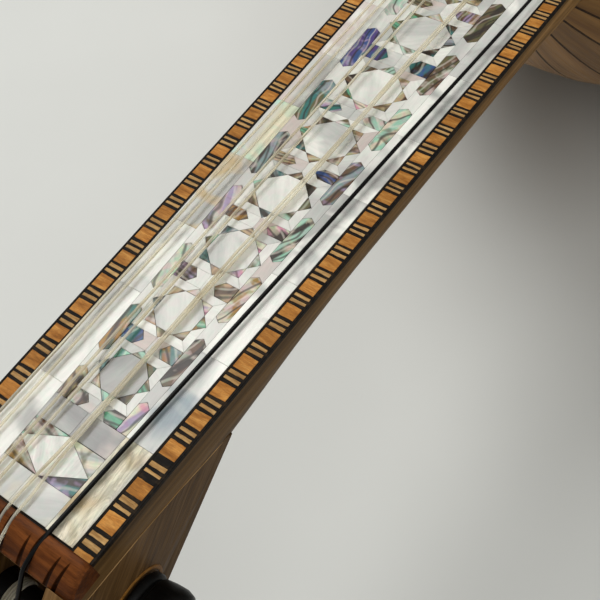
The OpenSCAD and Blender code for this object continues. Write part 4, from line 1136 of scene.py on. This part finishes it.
# The string's turns on its peg: a helix about the peg's axis, y rising by one string's thickness a turn
def coilPath(i, look):
    k, radius, turns = strings["pegs"][i], look["radius"], look["turns"]
    y0 = nut["slots"][strings["slots"][i] - 1] / 2
    a = np.linspace(0, 2 * np.pi * turns, int(40 * turns))
    side = 1.0 if k % 2 == 0 else -1.0
    along = np.array([-math.cos(bend), 0, -math.sin(bend)])
    outward = np.array([-math.sin(bend), 0, math.cos(bend)])
    ring = np.cos(a)[:, None] * outward + np.sin(a)[:, None] * along
    path = boxPlace(pegP(k), pegQ(k)) + (peg["radius"] + radius * 0.96) * ring
    path[:, 1] = y0 + side * (a / (2 * np.pi) - turns / 2) * radius * 2.05
    return path


# A string or a winding, in the nylon of its gauge
def layNylon(name, node, i, parts, body="root"):
    thick = i == stringCount - 1
    makeJoined(name, parts, blackNylon if thick else clearNylon, body=body,
               slotName="black_string" if thick else "clear_string", nodes=[node], sharp=60)


for i in range(stringCount):
    radius, path, end = stringPath(i)
    tie = tubeAlong(tiePath(end, radius), radius * 0.98, 10, reference=(0.13, 0.97, 0.21))
    layNylon(f"string{i + 1}", f"string_{i + 1}", i, [tubeAlong(path, radius, 12), tie])
for i in range(stringCount):
    coil = tubeAlong(coilPath(i, gaugeOf(i)), gaugeOf(i)["radius"] * 0.97, 10)
    layNylon(f"winding{i + 1}", f"winding_{i + 1}", i, [coil], f"peg_{strings['pegs'][i]}_body")
print("strings strung")

bowl = {"length": 480.0, "halfWidth": 182.0, "ribs": 13, "thick": 3.0, "line": 0.9, "start": 206.0, "top": -2.2,
        "flat": 0.55, "tailHole": 14.0, "rootProud": 1.4, "steps": 34}
wideAt = bowl["length"] - bowl["halfWidth"]
rootRadius = boardWidth(bowl["start"]) / 2 + bowl["rootProud"]
flankRise = bowl["halfWidth"] - rootRadius
flankRadius = (wideAt ** 2 + flankRise ** 2) / (2 * flankRise)


# The bowl's outline, by arc: distance from the joint, radius there, and the way its skin faces
def bowlOutline():
    first, steps = math.asin(wideAt / flankRadius), bowl["steps"]
    t = np.linspace(first, 0, steps)
    s = wideAt - flankRadius * np.sin(t)
    r = bowl["halfWidth"] - flankRadius + flankRadius * np.cos(t)
    facing = np.stack([-np.sin(t), np.cos(t)], 1)
    last = math.acos(bowl["tailHole"] / bowl["halfWidth"])
    v = np.linspace(0, last, steps)[1:]
    s = np.append(s, wideAt + bowl["halfWidth"] * np.sin(v))
    r = np.append(r, bowl["halfWidth"] * np.cos(v))
    facing = np.concatenate([facing, np.stack([np.sin(v), np.cos(v)], 1)])
    return s, r, facing


# A strip of the bowl between two angles: outer skin and inner skin as one closed ring, carried along
def bowlStrip(middle, halfAngle, across, flat, proud=0.0):
    s, r, facing = bowlOutline()
    a = middle + halfAngle[:, None] * np.linspace(-1, 1, across)[None]
    delta = a - middle
    full = np.cos(halfAngle)[:, None] / np.cos(delta)
    shape = 1 - flat * (1 - full)
    outerR = (r[:, None] + proud) * shape
    innerR = (r - bowl["thick"] * facing[:, 1])[:, None] * shape
    sOuter = np.broadcast_to(s[:, None], a.shape)
    sInner = np.broadcast_to((s - bowl["thick"] * facing[:, 0])[:, None], a.shape)
    sInner = np.maximum(sInner, 0)

    def placeOf(sv, rv):
        return np.stack([bowl["start"] + sv, rv * np.sin(a), bowl["top"] - rv * np.cos(a)], -1)

    rings = np.concatenate([placeOf(sOuter, outerR), placeOf(sInner, innerR)[:, ::-1]], 1)
    arc = np.concatenate([[0], np.cumsum(np.hypot(np.diff(s), np.diff(r)))])
    u = np.broadcast_to(arc[:, None], (len(s), 2 * across)) * mm
    v = np.concatenate([delta * r[:, None], delta[:, ::-1] * r[:, None]], 1) * mm
    return rings.reshape(-1, 3), tubeFaces(len(s), 2 * across), np.stack([u, v], -1).reshape(-1, 2)


ribAngle = math.pi / bowl["ribs"]
ribR = bowlOutline()[1]
halfLine = bowl["line"] / 2 / ribR       # half the angle that a line between ribs takes at each radius
ribSet, ribUv, lineStrips = [], [], []
for i in range(bowl["ribs"]):
    lowEdge = -math.pi / 2 + i * ribAngle + (0 if i == 0 else halfLine)
    highEdge = -math.pi / 2 + (i + 1) * ribAngle - (0 if i == bowl["ribs"] - 1 else halfLine)
    middle = (lowEdge + highEdge) / 2
    points, groups, uv = bowlStrip(middle[:, None], (highEdge - lowEdge) / 2, 9, bowl["flat"])
    ribSet.append((points, groups, {"ribTone": np.full(len(points), draw.uniform(0.84, 1.14))}))
    ribUv.append(uv + [draw.uniform(0, 5), 0.4 * i])
makeJoined("bowlRibs", ribSet, wood["ribWood"], slotName="rib_wood", nodes=["bowl_ribs"],
           uv=np.concatenate(ribUv), sharp=40)
for i in range(1, bowl["ribs"]):
    middle = np.full((len(ribR), 1), -math.pi / 2 + i * ribAngle)
    lineStrips.append(bowlStrip(middle, halfLine, 2, 0.0, proud=0.02)[:2])
makeJoined("ribLines", lineStrips, wood["lineWood"], slotName="black_wood", nodes=["rib_lines"], sharp=40)
print("bowl built")

roses = {"large": {"centre": (376.0, 0.0), "radius": 52.0, "petals": 12, "bar": 0.75, "sides": 56},
         "small1": {"centre": (468.0, 74.0), "radius": 20.0, "petals": 8, "bar": 0.5625, "sides": 36},
         "small2": {"centre": (468.0, -74.0), "radius": 20.0, "petals": 8, "bar": 0.5625, "sides": 36}}
roseCut = {"deep": 1.0, "level": -3.35, "lip": 4.0}


# A ring of rounded strip: a circle whose section is a flattened oval, closed on itself
def stripRing(centre, radius, halfWide, halfDeep, level, sides=72, section=8):
    a, b = fullTurn(sides), fullTurn(section)
    wide = np.sign(np.cos(b)) * np.abs(np.cos(b)) ** 0.6 * halfWide
    deep = np.sign(np.sin(b)) * np.abs(np.sin(b)) ** 0.6 * halfDeep
    r = np.broadcast_to(radius + wide, (sides, section))
    points = np.stack([centre[0] + r * np.cos(a)[:, None], centre[1] + r * np.sin(a)[:, None],
                       np.broadcast_to(level + deep, (sides, section))], -1)
    return points.reshape(-1, 3), loopFaces(sides, section)


# A rose: an outer ring and its lip, two inner rings, and on each of two circles one ring per petal
def roseLattice(look):
    cx, cy = look["centre"]
    r, n, bar = look["radius"], look["petals"], look["bar"]
    parts = [stripRing((cx, cy), r - 0.2, bar * 1.8, 1.2, roseCut["level"] - 0.1, 96),
             stripRing((cx, cy), r + roseCut["lip"] / 2, roseCut["lip"] / 2, 0.9, roseCut["level"] - 0.1, 96),
             stripRing((cx, cy), r * 0.3, bar * 1.2, 1.1, roseCut["level"]),
             stripRing((cx, cy), r * 0.1, r * 0.1, 1.15, roseCut["level"], 40, 12)]
    for i in range(n):
        a = 2 * math.pi * i / n
        for share, size in ((0.5, 0.485), (0.66, 0.325)):
            centre = (cx + share * r * math.cos(a), cy + share * r * math.sin(a))
            parts.append(stripRing(centre, size * r, bar, roseCut["deep"], roseCut["level"] + 0.03 * (i % 3),
                                   look["sides"]))
    return parts


for name, node, lattices in (("largeRose", "large_rose", ["large"]),
                             ("smallRoses", "small_roses", ["small1", "small2"])):
    bars = [part for key in lattices for part in roseLattice(roses[key])]
    makeJoined(name, bars, wood["roseWood"], slotName="rose_wood", nodes=[node], sharp=60)

# The rings: a black ring with a channel, and in it the same blocks and sticks as on the neck
ringLook = {"width": 6.0, "rim": 1.1, "floor": -1.0, "foot": -2.2, "period": 7.1, "sides": 96,
            "blocks": [(0.0, 3.3)], "sticks": [(4.06, 0.76), (5.58, 0.76)]}
ringParts, ringBlocks, ringSticks = [], [], []
for look in roses.values():
    centre = np.array(look["centre"])
    r0, r1 = look["radius"], look["radius"] + ringLook["width"]
    inner, outer = r0 + ringLook["rim"], r1 - ringLook["rim"]
    foot, low = ringLook["foot"], ringLook["floor"]
    loop = np.array([(r0, foot), (r1, foot), (r1, 0.0), (outer, 0.0), (outer, low), (inner, low), (inner, 0.0),
                     (r0, 0.0)])
    a = fullTurn(ringLook["sides"])
    ringPoints = np.stack([centre[0] + loop[:, :1] * np.cos(a), centre[1] + loop[:, :1] * np.sin(a),
                           loop[:, 1:] + 0 * a], -1).reshape(-1, 3)
    ringParts.append((ringPoints, loopFaces(len(loop), len(a)), {"stickTone": np.full(len(ringPoints), 0.8)}))
    count = round(math.pi * (r0 + r1) / ringLook["period"])
    for n in range(count):
        for kind, start, length in ([(ringBlocks, *place) for place in ringLook["blocks"]]
                                    + [(ringSticks, *place) for place in ringLook["sticks"]]):
            turn = 2 * math.pi * (n + np.array([start, start + length]) / ringLook["period"]) / count
            b = np.linspace(turn[0], turn[1], 3)
            ray = np.stack([np.cos(b), np.sin(b)], 1)
            outline = np.concatenate([centre + outer * ray, (centre + inner * ray)[::-1]])
            pts, faces = tileSolid(outline, joint=0.02, bevel=0.03)
            kind.append((pts, faces, {"stickTone": np.full(len(pts), draw.uniform(0.88, 1.12))}))
for name, parts, materialName, slotName, nodeNames in (
        ("roseRings", ringParts, "blackWood", "black_wood", ["rose_rings"]),
        ("ringBlocks", ringBlocks, "orangeWood", "orange_wood", []),
        ("ringSticks", ringSticks, "tanWood", "tan_wood", [])):
    makeJoined(name, parts, wood[materialName], slotName=slotName, nodes=nodeNames, sharp=30)
print("roses carved")


swell = {"rise": 4.4, "riseOver": (-14, 22), "drawn": 2.0, "fall": 2.4, "fallOver": (40, 140),
         "deepOver": (0.5, 0.85)}


# Draws the pegbox's back in a little near the neck and lets it out further down: q moves by
# rise * step(p) - drawn - fall * step(p), in full on the deep side and not at all on the open one.
# Pairs say where a step starts and ends: along p, or as a share of the depth there
def swelled(points):
    x, z = points[:, 0] + nut["length"], points[:, 2] - pegbox["top"]
    p = -x * math.cos(bend) - z * math.sin(bend)
    q = x * math.sin(bend) - z * math.cos(bend)
    move = swell["rise"] * smoothStep(*swell["riseOver"], p) - swell["drawn"] \
        - swell["fall"] * smoothStep(*swell["fallOver"], p)
    move = move * smoothStep(*swell["deepOver"], q / boxDepth(p))
    return points + move[:, None] * np.array([math.sin(bend), 0.0, -math.cos(bend)])


# Plain wooden pieces: the CAD shape with its edges eased
def easedCopy(node, name, material, slotName, width, body="root"):
    mesh = cadNodes[node].data.copy()
    mesh.name = name
    mesh.materials.clear()
    mesh.materials.append(material)
    work = bmesh.new()
    work.from_mesh(mesh)
    bmesh.ops.remove_doubles(work, verts=work.verts, dist=1e-6)
    bmesh.ops.dissolve_degenerate(work, edges=work.edges, dist=1e-6)
    if slotName == "pegbox_wood":
        places = (np.array([vert.co[:] for vert in work.verts]) - origin) / mm
        for vert, place in zip(work.verts, toRow(swelled(places)).tolist()):
            vert.co = place
    work.to_mesh(mesh)
    work.free()
    piece = bpy.data.objects.new(name, mesh)
    bpy.context.scene.collection.objects.link(piece)
    mesh.polygons.foreach_set("use_smooth", np.ones(len(mesh.polygons), bool))
    mesh.set_sharp_from_angle(angle=math.radians(35))
    ease = piece.modifiers.new("easedEdges", "BEVEL")
    ease.width, ease.segments, ease.limit_method = width * mm, 2, "ANGLE"
    ease.angle_limit, ease.use_clamp_overlap = math.radians(38), True
    ease.harden_normals = False
    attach(piece, body)
    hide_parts(node)


for node, name, materialName, slotName, width in (
        ("cheek_bass", "cheekBass", "pegboxWood", "pegbox_wood", 0.3),
        ("cheek_treble", "cheekTreble", "pegboxWood", "pegbox_wood", 0.3),
        ("pegbox_back", "pegboxBack", "pegboxWood", "pegbox_wood", 0.2),
        ("pegbox_end", "pegboxEnd", "pegboxWood", "pegbox_wood", 0.4),
        ("bridge", "bridge", "bridgeWood", "walnut", 0.35),
        ("pickguard", "pickguard", "walnutWood", "walnut", 0.2),
        ("edge_binding", "edgeBinding", "walnutWood", "walnut", 0.4),
        ("tail_clasp", "tailClasp", "bridgeWood", "walnut", 0.4)):
    easedCopy(node, name, wood[materialName], slotName, width)

plainFinish = {"fingerboard": "neckWood", "neck_block": "blockWood", "tail_block": "blockWood",
               "soundboard_bass": "topWood", "soundboard_treble": "topWood", "soundboard_braces": "blockWood",
               "pegbox_tongue": "neckWood"}
for node, materialName in plainFinish.items():
    cadNodes[node].data.materials.clear()
    cadNodes[node].data.materials.append(wood[materialName])
print("plain pieces finished")
